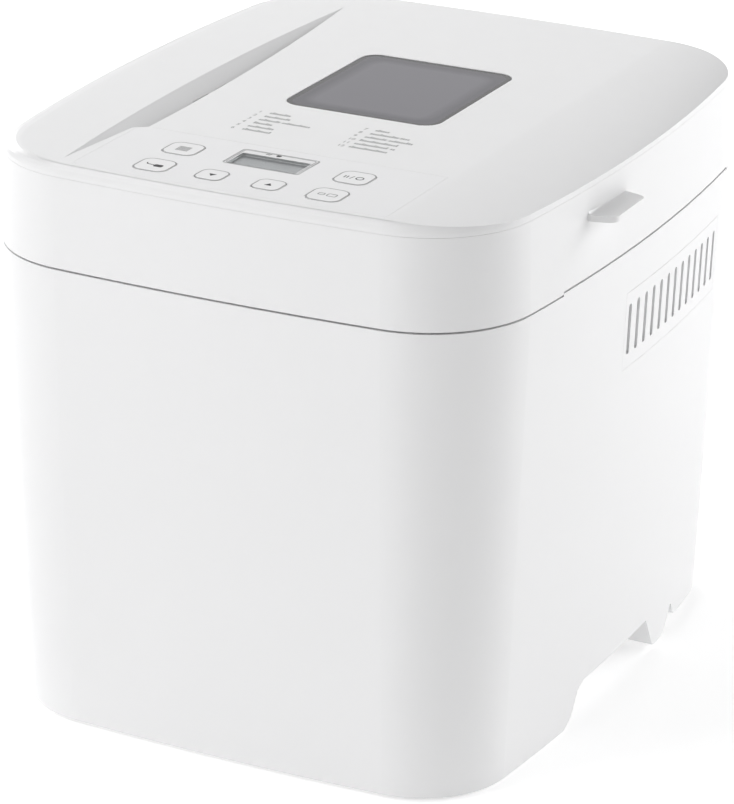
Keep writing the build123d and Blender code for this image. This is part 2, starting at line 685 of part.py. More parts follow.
def lid_cover():
    cover = cover_solid()
    cavity = drafted(COVER_FOOT_Z - 1, CAVITY_TOP_Z, lid_inset, COVER_WALL + LIP_WALL + 1.5)
    cavity -= right_fall(COVER_WALL)
    edge = drafted(COVER_FOOT_Z - 1, COVER_FOOT_Z + 1.5, lid_inset, LID_WALL + 0.4)
    lip = drafted_ring(COVER_FOOT_Z - LIP_DEPTH, COVER_FOOT_Z + 1.5, lid_inset, LID_WALL + 0.4, LIP_WALL)
    cover = cover - cavity + (lip & drafted(COVER_FOOT_Z - LIP_DEPTH, TOP_Z, lid_inset)) + (edge - cavity)
    ledge_size = grown(WINDOW_SIZE, 3.0)
    glass_z = TOP_Z - WINDOW_SINK - WINDOW_GLASS
    cover += slab(WINDOW_CENTRE, ledge_size, WINDOW_RADIUS + 3, glass_z - 2.2, CAVITY_TOP_Z + 0.5)
    cover += recess_backing()
    cover -= steam_recess()
    cover -= steam_slots()
    cover -= slab(WINDOW_CENTRE, grown(WINDOW_SIZE, PLAY), WINDOW_RADIUS + PLAY, glass_z, TOP_Z + 1)
    cover -= slab(WINDOW_CENTRE, grown(WINDOW_SIZE, -WINDOW_LEDGE), WINDOW_RADIUS - 3, glass_z - 5, TOP_Z)
    cover -= film_solid(0)
    for _, centre, size, radius in key_places():
        cover -= slab(centre, grown((size, size), KEY_GAP), radius + KEY_GAP, CAVITY_TOP_Z - 3, TOP_Z + 1)
    cover -= slab((PANEL_X, DISPLAY_Y), grown(DISPLAY_SIZE, FIT_GAP), 2.0, TOP_Z - DISPLAY_LENS, TOP_Z + 1)
    cover -= slab((PANEL_X, DISPLAY_Y), grown(DISPLAY_SIZE, -DISPLAY_LEDGE), 1.2, CAVITY_TOP_Z - 3, TOP_Z + 1)
    return cover


def control_film():
    film = film_solid(FIT_GAP)
    for _, centre, size, radius in key_places():
        film -= slab(centre, grown((size, size), KEY_GAP), radius + KEY_GAP, FILM_Z - 1, TOP_Z + 1)
    film -= slab((PANEL_X, DISPLAY_Y), grown(DISPLAY_SIZE, FIT_GAP), 2.0, FILM_Z - 1, TOP_Z + 1)
    return film


def control_key(centre, size, radius):
    """Key cap with a retaining flange under the cover and a stem over its switch."""
    flange_top = CAVITY_TOP_Z - 0.2
    cap = slab(centre, (size, size), radius, flange_top, TOP_Z + KEY_PROUD)
    cap += slab(centre, grown((size, size), 1.2), radius + 1.2, flange_top - KEY_FLANGE, flange_top)
    switch_top = BOARD_Z + BOARD_THICKNESS + SWITCH_HEIGHT + 0.4
    return cap + rod(centre, KEY_STEM_RADIUS, switch_top + KEY_TRAVEL + 0.1, flange_top)


def display_lens():
    return slab((PANEL_X, DISPLAY_Y), DISPLAY_SIZE, 1.8, TOP_Z - DISPLAY_LENS, TOP_Z)


def display_glass():
    """Liquid-crystal panel under the clear lens."""
    top = TOP_Z - DISPLAY_LENS - 0.2
    return slab((PANEL_X, DISPLAY_GLASS_Y), DISPLAY_GLASS, 0.8, top - DISPLAY_GLASS_THICKNESS, top)


def display_holder():
    """White frame that carries the display panel on the control board."""
    top = TOP_Z - DISPLAY_LENS - 0.2
    size = grown(DISPLAY_SIZE, -DISPLAY_LEDGE - FIT_GAP)
    holder = slab((PANEL_X, DISPLAY_Y), size, 1.0, BOARD_Z + BOARD_THICKNESS, top)
    holder -= slab((PANEL_X, DISPLAY_GLASS_Y), grown(DISPLAY_GLASS, 0.05), 0.8,
                   top - DISPLAY_GLASS_THICKNESS, top + 1)
    return holder


def control_board():
    centre = (PANEL_X, BOARD_Y)
    return slab(centre, BOARD_SIZE, 3.0, BOARD_Z, BOARD_Z + BOARD_THICKNESS)


def key_switches():
    """Six push switches on the control board."""
    base = BOARD_Z + BOARD_THICKNESS
    switches = []
    for _, centre, _, _ in key_places():
        body = slab(centre, (SWITCH_SIZE, SWITCH_SIZE), 0.6, base, base + SWITCH_HEIGHT)
        switches.append(body + rod(centre, 1.6, base + SWITCH_HEIGHT, base + SWITCH_HEIGHT + 0.4))
    return switches


def window_glass():
    top = TOP_Z - WINDOW_SINK
    return slab(WINDOW_CENTRE, WINDOW_SIZE, WINDOW_RADIUS, top - WINDOW_GLASS, top)


def window_opening():
    return grown(WINDOW_SIZE, -WINDOW_LEDGE)


def window_duct():
    """Square sleeve between the outer window and the inner glass."""
    top = TOP_Z - WINDOW_SINK - WINDOW_GLASS - 2.4
    foot = LINER_TOP_Z + INNER_GLASS_THICKNESS + 0.2
    return frame_slab(WINDOW_CENTRE, window_opening(), WINDOW_RADIUS - 3, DUCT_WALL, foot, top)


def inner_glass_size():
    return grown(window_opening(), DUCT_WALL + INNER_GLASS_LAP)


def inner_glass():
    return slab(WINDOW_CENTRE, inner_glass_size(), 8, LINER_TOP_Z, LINER_TOP_Z + INNER_GLASS_THICKNESS)


def inner_glass_seal():
    """Silicone frame that holds the inner glass down on the liner."""
    top = LINER_TOP_Z + INNER_GLASS_THICKNESS
    seal = frame_slab(WINDOW_CENTRE, inner_glass_size(), 8, GLASS_SEAL_WIDTH, LINER_TOP_Z, top + 1.5)
    lap = grown(window_opening(), DUCT_WALL + 0.5)
    outer = grown(inner_glass_size(), GLASS_SEAL_WIDTH / 2)
    return seal + slab(WINDOW_CENTRE, outer, 9, top, top + 1.5) - slab(WINDOW_CENTRE, lap, 8, top, top + 3)


def liner_size():
    return grown(CHAMBER_SIZE, LINER_MARGIN)


def lid_liner():
    """Sheet-steel dish under the lid, flanged to the skirt's screw bosses."""
    flange_top = LINER_FLANGE_Z + LINER_SHEET
    flange = extrude(plan_face(lid_inset(LINER_FLANGE_Z) + LID_WALL + 4.6, LINER_FLANGE_Z), LINER_SHEET)
    size = liner_size()
    radius = CHAMBER_RADIUS + LINER_MARGIN
    outer = slab(CHAMBER_CENTRE, grown(size, LINER_SHEET), radius + LINER_SHEET, LINER_FLANGE_Z, LINER_TOP_Z)
    inner = slab(CHAMBER_CENTRE, size, radius, LINER_FLANGE_Z - 1, LINER_TOP_Z - LINER_SHEET)
    liner = flange + outer - inner
    liner -= slab(WINDOW_CENTRE, window_opening(), 6, LINER_TOP_Z - 3, LINER_TOP_Z + 1)
    for place in steam_holes():
        liner -= slab(place, (3.0, 12.0), 1.4, LINER_TOP_Z - 3, LINER_TOP_Z + 1)
    for place in lid_bosses():
        liner -= rod(place, SCREW_RADIUS + 0.1, LINER_FLANGE_Z - 1, flange_top + 1)
    return liner


def steam_holes():
    x = RECESS_INNER_MID[0] - STEAM_SLOT[0] - 0.8
    return [(x, RECESS_INNER_MID[1] + i * STEAM_SLOT_PITCH) for i in (-1, 0, 1)]


def steam_duct():
    """Channel that leads steam from the liner to the recess's slots."""
    x = RECESS_INNER_MID[0] - STEAM_SLOT[0] - 0.8
    centre = (x, RECESS_INNER_MID[1])
    length = STEAM_SLOT_PITCH * (STEAM_SLOT_COUNT - 1) + STEAM_SLOT[1] + 4
    return frame_slab(centre, (7.0, length), 2.0, 1.5, LINER_TOP_Z + 0.1, SHELF_Z + 7)


def lid_bosses():
    return [inset_point(quadrant, 14.0) for quadrant in QUADRANTS]


def finger_tab():
    """Tapered tab on the right of the skirt, blended into it at its top root."""
    wall_x = WIDTH / 2 - lid_inset(TAB_TOP_Z)
    tip_x = wall_x + TAB_REACH
    low = TAB_TOP_Z - TAB_THICKNESS
    radius = TAB_ROOT_RADIUS
    corner = wall_x - 1.6
    edges = Polyline((corner, TAB_TOP_Z + radius), (corner - 4, TAB_TOP_Z + radius), (corner - 4, low),
                     (tip_x, low), (tip_x, TAB_TOP_Z), (corner + radius, TAB_TOP_Z))
    centre = (corner + radius, TAB_TOP_Z + radius)
    middle = (centre[0] - radius * cos(radians(45)), centre[1] - radius * sin(radians(45)))
    edges += ThreePointArc((corner + radius, TAB_TOP_Z), middle, (corner, TAB_TOP_Z + radius))
    profile = Pos(0, DEPTH / 2, 0) * extrude(Plane.XZ * make_face(edges), DEPTH)
    inner_x = wall_x - 12
    half_root, half_tip = TAB_ROOT / 2, TAB_TIP / 2
    plan = Polyline((inner_x, TAB_Y - half_root), (wall_x, TAB_Y - half_root), (tip_x, TAB_Y - half_tip),
                    (tip_x, TAB_Y + half_tip), (wall_x, TAB_Y + half_root), (inner_x, TAB_Y + half_root),
                    close=True)
    prism = extrude(make_face(plan), TOP_Z)
    prism = fillet(prism.edges().filter_by(Axis.Z).sort_by(Axis.X)[-2:], 5.0)
    return profile & prism


def lid_skirt():
    outer = drafted(SKIRT_FOOT_Z, SKIRT_TOP_Z, lid_inset)
    hollow = drafted(SKIRT_FOOT_Z - 1, SKIRT_TOP_Z + 1, lid_inset, LID_WALL)
    skirt = (outer + finger_tab()) - hollow
    skirt -= seam_step_block(SKIRT_FOOT_Z - 2, SKIRT_FOOT_Z + SEAM_STEP)
    skirt += drafted_ring(SHELF_Z, SHELF_Z + SHELF_THICKNESS, lid_inset, LID_WALL / 2, SHELF_WIDTH)
    for place in lid_bosses():
        skirt += rod(place, BOSS_RADIUS, LINER_FLANGE_Z + LINER_SHEET, SHELF_Z + 1)
        skirt -= rod(place, SCREW_RADIUS, LINER_FLANGE_Z - 1, SHELF_Z - 6)
    for y in HINGE_ROWS:
        skirt += lid_hinge_knuckle(y)
    return skirt


def lid_screws():
    """Four screws that hold the liner to the skirt's bosses."""
    return [screw(place, LINER_FLANGE_Z, 10) for place in lid_bosses()]


# ---------------------------------------------------------------- lid hinge

def hinge_barrel(y0, y1, radius):
    return rod_along("Y", (HINGE_X, SEAM_Z), radius, y0, y1)


def hinge_gusset(y0, y1, way):
    """Tapered gusset from the hinge barrel to the wall, down (-1) or up (1) from the seam."""
    left = HINGE_X - HINGE_RADIUS
    right = HINGE_X + HINGE_RADIUS
    wall = -WIDTH / 2 + HINGE_GUSSET_ROOT
    outline = Polyline((left, SEAM_Z), (left, SEAM_Z + way * HINGE_RADIUS),
                       (wall, SEAM_Z + way * HINGE_GUSSET), (wall, SEAM_Z + way * 1.2 * HINGE_RADIUS),
                       (right, SEAM_Z), close=True)
    web = Pos(0, y1, 0) * extrude(Plane.XZ * make_face(outline), y1 - y0)
    return web + hinge_barrel(y0, y1, HINGE_RADIUS)


def body_hinge_ears(y):
    """Two ears moulded on the casing's left wall for one hinge."""
    half = HINGE_KNUCKLE / 2 + PLAY
    ears = hinge_gusset(y - half - HINGE_EAR, y - half, -1) + hinge_gusset(y + half, y + half + HINGE_EAR, -1)
    ears -= drafted(SEAM_Z - HINGE_GUSSET - 5, SEAM_Z + 8, body_inset, CASING_WALL / 2)
    return ears - hinge_barrel(y - half - HINGE_EAR - 1, y + half + HINGE_EAR + 1, HINGE_PIN_RADIUS)


def lid_hinge_knuckle(y):
    """Knuckle moulded on the skirt's left wall, between a pair of ears."""
    half = HINGE_KNUCKLE / 2
    arm = hinge_gusset(y - half, y + half, 1)
    arm -= drafted(SEAM_Z - 8, SEAM_Z + HINGE_GUSSET + 5, lid_inset, LID_WALL / 2)
    return arm - hinge_barrel(y - half - 1, y + half + 1, HINGE_PIN_RADIUS + HINGE_RUNNING)


def hinge_pin(y):
    half = HINGE_KNUCKLE / 2 + PLAY + HINGE_EAR
    return hinge_barrel(y - half, y + half, HINGE_PIN_RADIUS)


# ---------------------------------------------------------------- baking chamber

def baking_chamber():
    """Deep sheet-steel box, open at its top, with a flange that rests on the deck."""
    top = DECK_Z + DECK_THICKNESS + CHAMBER_SHEET
    outer_radius = CHAMBER_RADIUS + CHAMBER_SHEET
    floor = CHAMBER_FLOOR_Z
    box = slab(CHAMBER_CENTRE, grown(CHAMBER_SIZE, CHAMBER_SHEET), outer_radius, floor, top)
    box += slab(CHAMBER_CENTRE, grown(CHAMBER_SIZE, CHAMBER_FLANGE), CHAMBER_RADIUS + CHAMBER_FLANGE,
                top - CHAMBER_SHEET, top)
    box -= slab(CHAMBER_CENTRE, CHAMBER_SIZE, CHAMBER_RADIUS, floor + CHAMBER_SHEET, top + 1)
    box -= rod(DRIVE_CENTRE, HUB_RADIUS + 2, floor - 1, floor + 2)
    for x in heater_lead_places():
        wall_y = CHAMBER_CENTRE[1] - CHAMBER_SIZE[1] / 2
        box -= rod_along("Y", (x, HEATER_Z), HEATER_RADIUS + 1.2, wall_y - 5, wall_y + 5)
    wall_x = CHAMBER_CENTRE[0] + CHAMBER_SIZE[0] / 2
    box -= rod_along("X", (CHAMBER_CENTRE[1], probe_z()), PROBE_RADIUS + 0.1, wall_x - 5, wall_x + 5)
    return box


def probe_z():
    return HEATER_Z + 40


def heat_shield():
    """Sheet sleeve round the chamber that keeps the casing cool."""
    size = grown(CHAMBER_SIZE, SHIELD_OFFSET)
    z0, z1 = SHIELD_Z
    shield = frame_slab(CHAMBER_CENTRE, size, CHAMBER_RADIUS + SHIELD_OFFSET, SHIELD_SHEET, z0, z1)
    for x in heater_lead_places():
        front = CHAMBER_CENTRE[1] - size[1] / 2
        shield -= slab((x, front), (2 * HEATER_RADIUS + 6, 8), 1, z0 - 1, HEATER_Z + 10)
    side = CHAMBER_CENTRE[0] + size[0] / 2
    shield -= rod_along("X", (CHAMBER_CENTRE[1], probe_z()), PROBE_RADIUS + 4, side - 5, side + 5)
    return shield


def heater_lead_places():
    return [CHAMBER_CENTRE[0] + side * HEATER_LEAD_SPACING / 2 for side in (-1, 1)]


def heating_element():
    """Sheathed tube bent once round the pan, its two ends out through the front wall."""
    cx, cy = CHAMBER_CENTRE
    half_x, half_y = HEATER_LOOP[0] / 2, HEATER_LOOP[1] / 2
    lead_a, lead_b = heater_lead_places()
    end_y = cy - half_y - HEATER_LEAD
    front = cy - half_y
    points = [(lead_a, end_y), (lead_a, front), (cx - half_x, front), (cx - half_x, cy + half_y),
              (cx + half_x, cy + half_y), (cx + half_x, front), (lead_b, front), (lead_b, end_y)]
    points = [(x, y, HEATER_Z) for x, y in points]
    bends = [8.0] + [HEATER_BEND] * 4 + [8.0]
    path = FilletPolyline(*points, radius=bends)
    ring = Plane(origin=points[0], z_dir=(0, 1, 0)) * Circle(HEATER_RADIUS)
    return sweep(ring, path)


def heater_clips():
    """Four brackets on the chamber's floor that carry the heating element."""
    clips = []
    cx, cy = CHAMBER_CENTRE
    floor = CHAMBER_FLOOR_Z + CHAMBER_SHEET
    half_x = HEATER_LOOP[0] / 2
    for x_side in (-1, 1):
        for y_side in (-1, 1):
            x = cx + x_side * half_x
            y = cy + y_side * (HEATER_LOOP[1] / 2 - HEATER_BEND - HEATER_CLIP_CLEAR)
            clip = block(x - 4.2, x + 4.2, y - 4, y + 4, floor, HEATER_Z + 1)
            clip -= block(x - 3.0, x + 3.0, y - 5, y + 5, floor + 1.2, HEATER_Z - HEATER_RADIUS - 1.2)
            clip -= rod_along("Y", (x, HEATER_Z), HEATER_RADIUS + 0.02, y - 6, y + 6)
            clips.append(clip)
    return clips


def heater_bushings():
    """Ceramic bushings where the element's ends pass the chamber wall."""
    wall_y = CHAMBER_CENTRE[1] - CHAMBER_SIZE[1] / 2
    bushings = []
    for x in heater_lead_places():
        bush = rod_along("Y", (x, HEATER_Z), HEATER_RADIUS + 1.1, wall_y - 7, wall_y)
        bush += rod_along("Y", (x, HEATER_Z), HEATER_RADIUS + 3, wall_y - 7, wall_y - 2)
        bushings.append(bush - rod_along("Y", (x, HEATER_Z), HEATER_RADIUS + 0.02, wall_y - 9, wall_y + 3))
    return bushings


def temperature_probe():
    wall_x = CHAMBER_CENTRE[0] + CHAMBER_SIZE[0] / 2
    place = (CHAMBER_CENTRE[1], probe_z())
    probe = rod_along("X", place, PROBE_RADIUS, wall_x - 8, wall_x + 12)
    return probe + rod_along("X", place, PROBE_RADIUS + 2.5, wall_x + CHAMBER_SHEET, wall_x + 4)


def thermal_fuse():
    """Fuse clamped flat against the outside of the chamber's floor."""
    place = (CHAMBER_CENTRE[0] + FUSE_OFFSET[0], CHAMBER_CENTRE[1] + FUSE_OFFSET[1])
    return slab(place, FUSE_SIZE, 3, CHASSIS_TOP_Z, CHAMBER_FLOOR_Z)


# ---------------------------------------------------------------- pan and paddle

def pan_outline(grow, z):
    return Pos(*CHAMBER_CENTRE, z) * RectangleRounded(*grown(PAN_SIZE, grow), PAN_RADIUS + grow)


def pan_space(grow):
    """Tapered space that the pan's inner wall bounds, grown sideways."""
    low = pan_outline(grow - PAN_TAPER, PAN_FLOOR_Z)
    return loft([low, pan_outline(grow, PAN_RIM_Z)], ruled=True)


def bread_pan():
    """Tapered pan with a rolled rim, its drive bush let into its floor."""
    inner = pan_space(0)
    inner &= block(-WIDTH, WIDTH, -DEPTH, DEPTH, PAN_FLOOR_Z + PAN_WALL, TOP_Z)
    reach = PAN_WALL + PAN_RIM_WIDTH
    lip_z = PAN_RIM_Z - PAN_RIM_DEPTH
    lip = slab(CHAMBER_CENTRE, grown(PAN_SIZE, reach), PAN_RADIUS + reach, lip_z, PAN_RIM_Z)
    lip -= slab(CHAMBER_CENTRE, PAN_SIZE, PAN_RADIUS, lip_z - 1, PAN_RIM_Z + 1)
    pan = (pan_space(PAN_WALL) - inner) + lip
    return pan - rod(DRIVE_CENTRE, BUSH_RADIUS, PAN_FLOOR_Z - 1, PAN_FLOOR_Z + PAN_WALL + 1)


def bayonet_angles():
    return [30 + i * 360 / BAYONET_COUNT for i in range(BAYONET_COUNT)]


def sector(inner, outer, start, end, z0, z1):
    """Part of an upright ring between two angles, about the drive centre."""
    reach = outer * 1.4
    middle = (start + end) / 2
    points = [(0, 0)] + [(reach * cos(radians(a)), reach * sin(radians(a))) for a in (start, middle, end)]
    wedge = Pos(*DRIVE_CENTRE, z0) * extrude(make_face(Polyline(*points, close=True)), z1 - z0)
    return tube(DRIVE_CENTRE, outer, inner, z0, z1) & wedge


def pan_foot_ring():
    """Ring under the pan with the bayonet lugs that lock it to its seat."""
    low = PAN_FLOOR_Z - FOOT_RING_DEPTH
    ring = tube(DRIVE_CENTRE, FOOT_RING_RADIUS, FOOT_RING_RADIUS - FOOT_RING_WALL, low, PAN_FLOOR_Z)
    half = BAYONET_LUG_ANGLE / 2
    for angle in bayonet_angles():
        ring += sector(FOOT_RING_RADIUS - FOOT_RING_WALL, FOOT_RING_RADIUS + BAYONET_PROUD,
                       angle - half, angle + half, *BAYONET_Z)
    return ring


def pan_seat():
    """Bayonet socket on the chamber's floor."""
    floor = CHAMBER_FLOOR_Z + CHAMBER_SHEET
    bore = FOOT_RING_RADIUS + 0.6
    outer = bore + SEAT_RIM_WALL
    seat = tube(DRIVE_CENTRE, outer + 4, HUB_RADIUS + 8, floor, floor + SEAT_BASE)
    seat += tube(DRIVE_CENTRE, outer, bore, floor, SEAT_RIM_TOP)
    half = BAYONET_LUG_ANGLE / 2
    clear = BAYONET_CLEAR_ANGLE
    for angle in bayonet_angles():
        locked = angle - half - clear
        free = angle + half + BAYONET_TWIST + clear
        seat -= sector(bore - 1, outer + 1, locked, free, BAYONET_Z[0] - 0.6, BAYONET_Z[1] + 0.6)
        entry = free - BAYONET_LUG_ANGLE - 2 * clear
        seat -= sector(bore - 1, outer + 1, entry, free, BAYONET_Z[0] - 0.6, SEAT_RIM_TOP + 1)
    return seat


def pan_bush():
    """Flanged bearing bush for the pan's shaft."""
    bush = rod(DRIVE_CENTRE, BUSH_RADIUS, PAN_FLOOR_Z - 2.4, BUSH_TOP_Z)
    bush += rod(DRIVE_CENTRE, BUSH_FLANGE_RADIUS, PAN_FLOOR_Z - 2.4, PAN_FLOOR_Z)
    return bush - rod(DRIVE_CENTRE, SHAFT_RADIUS + SHAFT_RUNNING, PAN_FLOOR_Z - 5, BUSH_TOP_Z + 1)


def pan_shaft_seal():
    return tube(DRIVE_CENTRE, BUSH_RADIUS - 1, SHAFT_RADIUS + 0.3, BUSH_TOP_Z, BUSH_TOP_Z + SEAL_HEIGHT)


def pan_shaft():
    return rod(DRIVE_CENTRE, SHAFT_RADIUS, *PAN_SHAFT_Z)


def wing_coupling():
    """Two-winged coupling on the lower end of the pan's shaft."""
    z0, z1 = WING_Z
    wing = rod(DRIVE_CENTRE, SHAFT_RADIUS + 1.6, z0, z1)
    cx, cy = DRIVE_CENTRE
    reach = DOG_RADIUS - 0.5
    wing += block(cx - reach, cx + reach, cy - WING_WIDTH / 2, cy + WING_WIDTH / 2, z0, z1)
    return wing - rod(DRIVE_CENTRE, SHAFT_RADIUS, z0 - 1, z1 + 1)


def kneading_paddle():
    """Paddle with a hub over the shaft's end and one curved blade."""
    z0, z1 = PADDLE_Z
    cx, cy = DRIVE_CENTRE
    hub = rod(DRIVE_CENTRE, PADDLE_HUB_RADIUS, z0, z1)
    half = PADDLE_BLADE_THICKNESS / 2
    outline = Polyline((0, -half), (PADDLE_LENGTH, -half * 0.5), (PADDLE_LENGTH, half * 0.5), (0, half),
                       close=True)
    blade = Pos(cx, cy, z0) * extrude(make_face(outline), PADDLE_BLADE_HEIGHT)
    slope = Polyline((0, PADDLE_BLADE_HEIGHT + 1), (12, PADDLE_BLADE_HEIGHT + 1),
                     (PADDLE_LENGTH + 1, PADDLE_BLADE_HEIGHT * 0.45), (PADDLE_LENGTH + 1, -1), (0, -1),
                     close=True)
    side = Pos(cx, cy + PADDLE_LENGTH / 2, z0) * extrude(Plane.XZ * make_face(slope), PADDLE_LENGTH)
    paddle = hub + (blade & side)
    return paddle - rod(DRIVE_CENTRE, SHAFT_RADIUS + SHAFT_RUNNING, z0 - 1, PAN_SHAFT_Z[1] + 0.6)


def pan_side_x():
    """Distance of the pan's outer wall from its middle, at the bail pivots."""
    share = (BAIL_PIVOT_Z - PAN_FLOOR_Z) / (PAN_RIM_Z - PAN_FLOOR_Z)
    return PAN_SIZE[0] / 2 + PAN_WALL - PAN_TAPER * (1 - share)


def bail_lug(side):
    """Pivot block riveted to the pan's side."""
    cx, cy = CHAMBER_CENTRE
    wall = pan_side_x()
    x0, x1 = sorted((cx + side * (wall - 3), cx + side * (wall + BAIL_LUG_THICKNESS)))
    half = BAIL_LUG[0] / 2
    lug = block(x0, x1, cy - half, cy + half, BAIL_PIVOT_Z - BAIL_LUG[1] + 6, BAIL_PIVOT_Z + 6)
    lug -= pan_space(PAN_WALL)
    pin_x0, pin_x1 = sorted((cx + side * (wall + 0.5), cx + side * (wall + 20)))
    return lug - rod_along("X", (cy, BAIL_PIVOT_Z), BAIL_WIRE_RADIUS + SHAFT_RUNNING, pin_x0, pin_x1)


def bail_rest_angle():
    """Angle above level at which the folded bail lies just over the pan's rim."""
    rise = PAN_RIM_Z + BAIL_WIRE_RADIUS + 0.4 - BAIL_PIVOT_Z
    return atan2(rise, sqrt(BAIL_ARM ** 2 - rise ** 2))


def bail_handle():
    """Wire handle folded towards the front, its ends turned in as pivots."""
    cx, cy = CHAMBER_CENTRE
    arm_x = pan_side_x() + BAIL_LUG_THICKNESS + BAIL_WIRE_RADIUS + 1.0
    end_x = pan_side_x() + 1.2
    angle = bail_rest_angle()
    bar_y = cy - BAIL_ARM * cos(angle)
    bar_z = BAIL_PIVOT_Z + BAIL_ARM * sin(angle)
    points = [(cx - end_x, cy, BAIL_PIVOT_Z), (cx - arm_x, cy, BAIL_PIVOT_Z), (cx - arm_x, bar_y, bar_z),
              (cx + arm_x, bar_y, bar_z), (cx + arm_x, cy, BAIL_PIVOT_Z), (cx + end_x, cy, BAIL_PIVOT_Z)]
    path = FilletPolyline(*points, radius=[2.4, BAIL_BEND, BAIL_BEND, 2.4])
    ring = Plane(origin=points[0], z_dir=(1, 0, 0)) * Circle(BAIL_WIRE_RADIUS)
    return sweep(ring, path)


# ---------------------------------------------------------------- drive

def chassis():
    """Folded steel frame that carries the chamber, the motor and the drive bearing."""
    x0, x1 = CHASSIS_X
    y0, y1 = CHASSIS_Y
    centre = ((x0 + x1) / 2, (y0 + y1) / 2)
    plate = slab(centre, (x1 - x0, y1 - y0), 12, CHASSIS_Z, CHASSIS_TOP_Z)
    base = BASE_Z + BASE_THICKNESS
    leg = CHASSIS_LEG
    half = leg / 2
    for x in (x0 + leg, x1 - leg):
        for y in (y0 + leg, y1 - leg):
            plate += block(x - half, x + half, y - half, y - half + CHASSIS_SHEET, base, CHASSIS_Z)
            plate += block(x - half, x + half, y - half, y + half, base, base + CHASSIS_SHEET)
    for x, y in QUADRANTS:
        place = (CHAMBER_CENTRE[0] + x * (CHAMBER_SIZE[0] / 2 - CHASSIS_POST_INSET[0]),
                 CHAMBER_CENTRE[1] + y * (CHAMBER_SIZE[1] / 2 - CHASSIS_POST_INSET[1]))
        plate += rod(place, 5, CHASSIS_TOP_Z - 0.5, CHAMBER_FLOOR_Z)
    plate -= rod(DRIVE_CENTRE, HUB_RADIUS + 0.6, CHASSIS_Z - 1, CHASSIS_TOP_Z + 1)
    return plate - rod(MOTOR_CENTRE, 15, CHASSIS_Z - 1, CHASSIS_TOP_Z + 1)


def bearing_housing():
    """Flanged housing bolted to the chassis, bored for the drive shaft."""
    housing = rod(DRIVE_CENTRE, HUB_RADIUS, PULLEY_Z[1] + 2, DOG_Z[0] - 1)
    housing += rod(DRIVE_CENTRE, HUB_RADIUS + 11, CHASSIS_TOP_Z, CHASSIS_TOP_Z + 3)
    return housing - rod(DRIVE_CENTRE, SHAFT_RADIUS + SHAFT_RUNNING, PULLEY_Z[0], DOG_Z[1])


def drive_shaft():
    return rod(DRIVE_CENTRE, SHAFT_RADIUS, PULLEY_Z[0] - 2, DOG_Z[1])


def drive_dog():
    """Driving half of the pan coupling: a disc with two upright lugs."""
    dog = rod(DRIVE_CENTRE, DOG_RADIUS, *DOG_Z)
    cx, cy = DRIVE_CENTRE
    lugs = tube(DRIVE_CENTRE, DOG_RADIUS, SHAFT_RADIUS + 2.4, DOG_Z[0], DOG_LUG_TOP)
    half = DOG_LUG_WIDTH / 2
    dog += lugs & block(cx - half, cx + half, cy - DOG_RADIUS, cy + DOG_RADIUS, DOG_Z[0], DOG_LUG_TOP)
    return dog - rod(DRIVE_CENTRE, SHAFT_RADIUS, DOG_Z[0] - 1, DOG_Z[1] + 1)


def pulley(centre, groove, bore):
    """Flanged pulley with a flat groove for the belt."""
    z0, z1 = PULLEY_Z
    wheel = rod(centre, groove + BELT_THICKNESS + PULLEY_FLANGE, z0, z1)
    outer = groove + BELT_THICKNESS + PULLEY_FLANGE + 1
    wheel -= tube(centre, outer, groove, z0 + PULLEY_FLANGE_HEIGHT - 1, z1 - PULLEY_FLANGE_HEIGHT + 1)
    return wheel - rod(centre, bore, z0 - 1, z1 + 1)


def big_pulley():
    wheel = pulley(DRIVE_CENTRE, BIG_GROOVE_RADIUS, SHAFT_RADIUS)
    z0, z1 = PULLEY_Z
    middle = (z0 + z1) / 2
    for low, high in ((z0 - 1, middle - 1.2), (middle + 1.2, z1 + 1)):
        wheel -= tube(DRIVE_CENTRE, BIG_GROOVE_RADIUS - 4, HUB_RADIUS, low, high)
    spoke = (BIG_GROOVE_RADIUS - 4 + HUB_RADIUS) / 2
    for i in range(6):
        angle = radians(60 * i)
        place = (DRIVE_CENTRE[0] + spoke * cos(angle), DRIVE_CENTRE[1] + spoke * sin(angle))
        wheel -= rod(place, 7.5, z0 - 1, z1 + 1)
    return wheel


def motor_pulley():
    return pulley(MOTOR_CENTRE, SMALL_GROOVE_RADIUS, MOTOR_SHAFT_RADIUS)


def belt_band(grow):
    """Plan of the space inside the belt, as far out as grow beyond the grooves."""
    big = BIG_GROOVE_RADIUS + grow
    small = SMALL_GROOVE_RADIUS + grow
    a, b = Vector(*DRIVE_CENTRE), Vector(*MOTOR_CENTRE)
    line = b - a
    lean = atan2(line.Y, line.X)
    turn = atan2(sqrt(line.length ** 2 - (big - small) ** 2), big - small)
    ways = [Vector(cos(lean + s * turn), sin(lean + s * turn)) for s in (1, -1)]
    corners = [a + ways[0] * big, b + ways[0] * small, b + ways[1] * small, a + ways[1] * big]
    straight = make_face(Polyline(*[(p.X, p.Y) for p in corners], close=True))
    return straight + Pos(a.X, a.Y) * Circle(big) + Pos(b.X, b.Y) * Circle(small)


def drive_belt():
    middle = (PULLEY_Z[0] + PULLEY_Z[1]) / 2
    band = belt_band(PLAY + BELT_THICKNESS) - belt_band(PLAY)
    return Pos(0, 0, middle - BELT_WIDTH / 2) * extrude(band, BELT_WIDTH)


def motor():
    """Drive motor: a can with end caps and a collar round its shaft."""
    z0, z1 = MOTOR_Z
    can = rod(MOTOR_CENTRE, MOTOR_RADIUS, z0 + 6, z1 - 6)
    can += rod(MOTOR_CENTRE, MOTOR_RADIUS - 3, z0, z1)
    can += rod(MOTOR_CENTRE, 7, z0 - 3, z1 + 4)
    return can - rod(MOTOR_CENTRE, MOTOR_SHAFT_RADIUS + SHAFT_RUNNING, z0 - 4, z0 + 30)


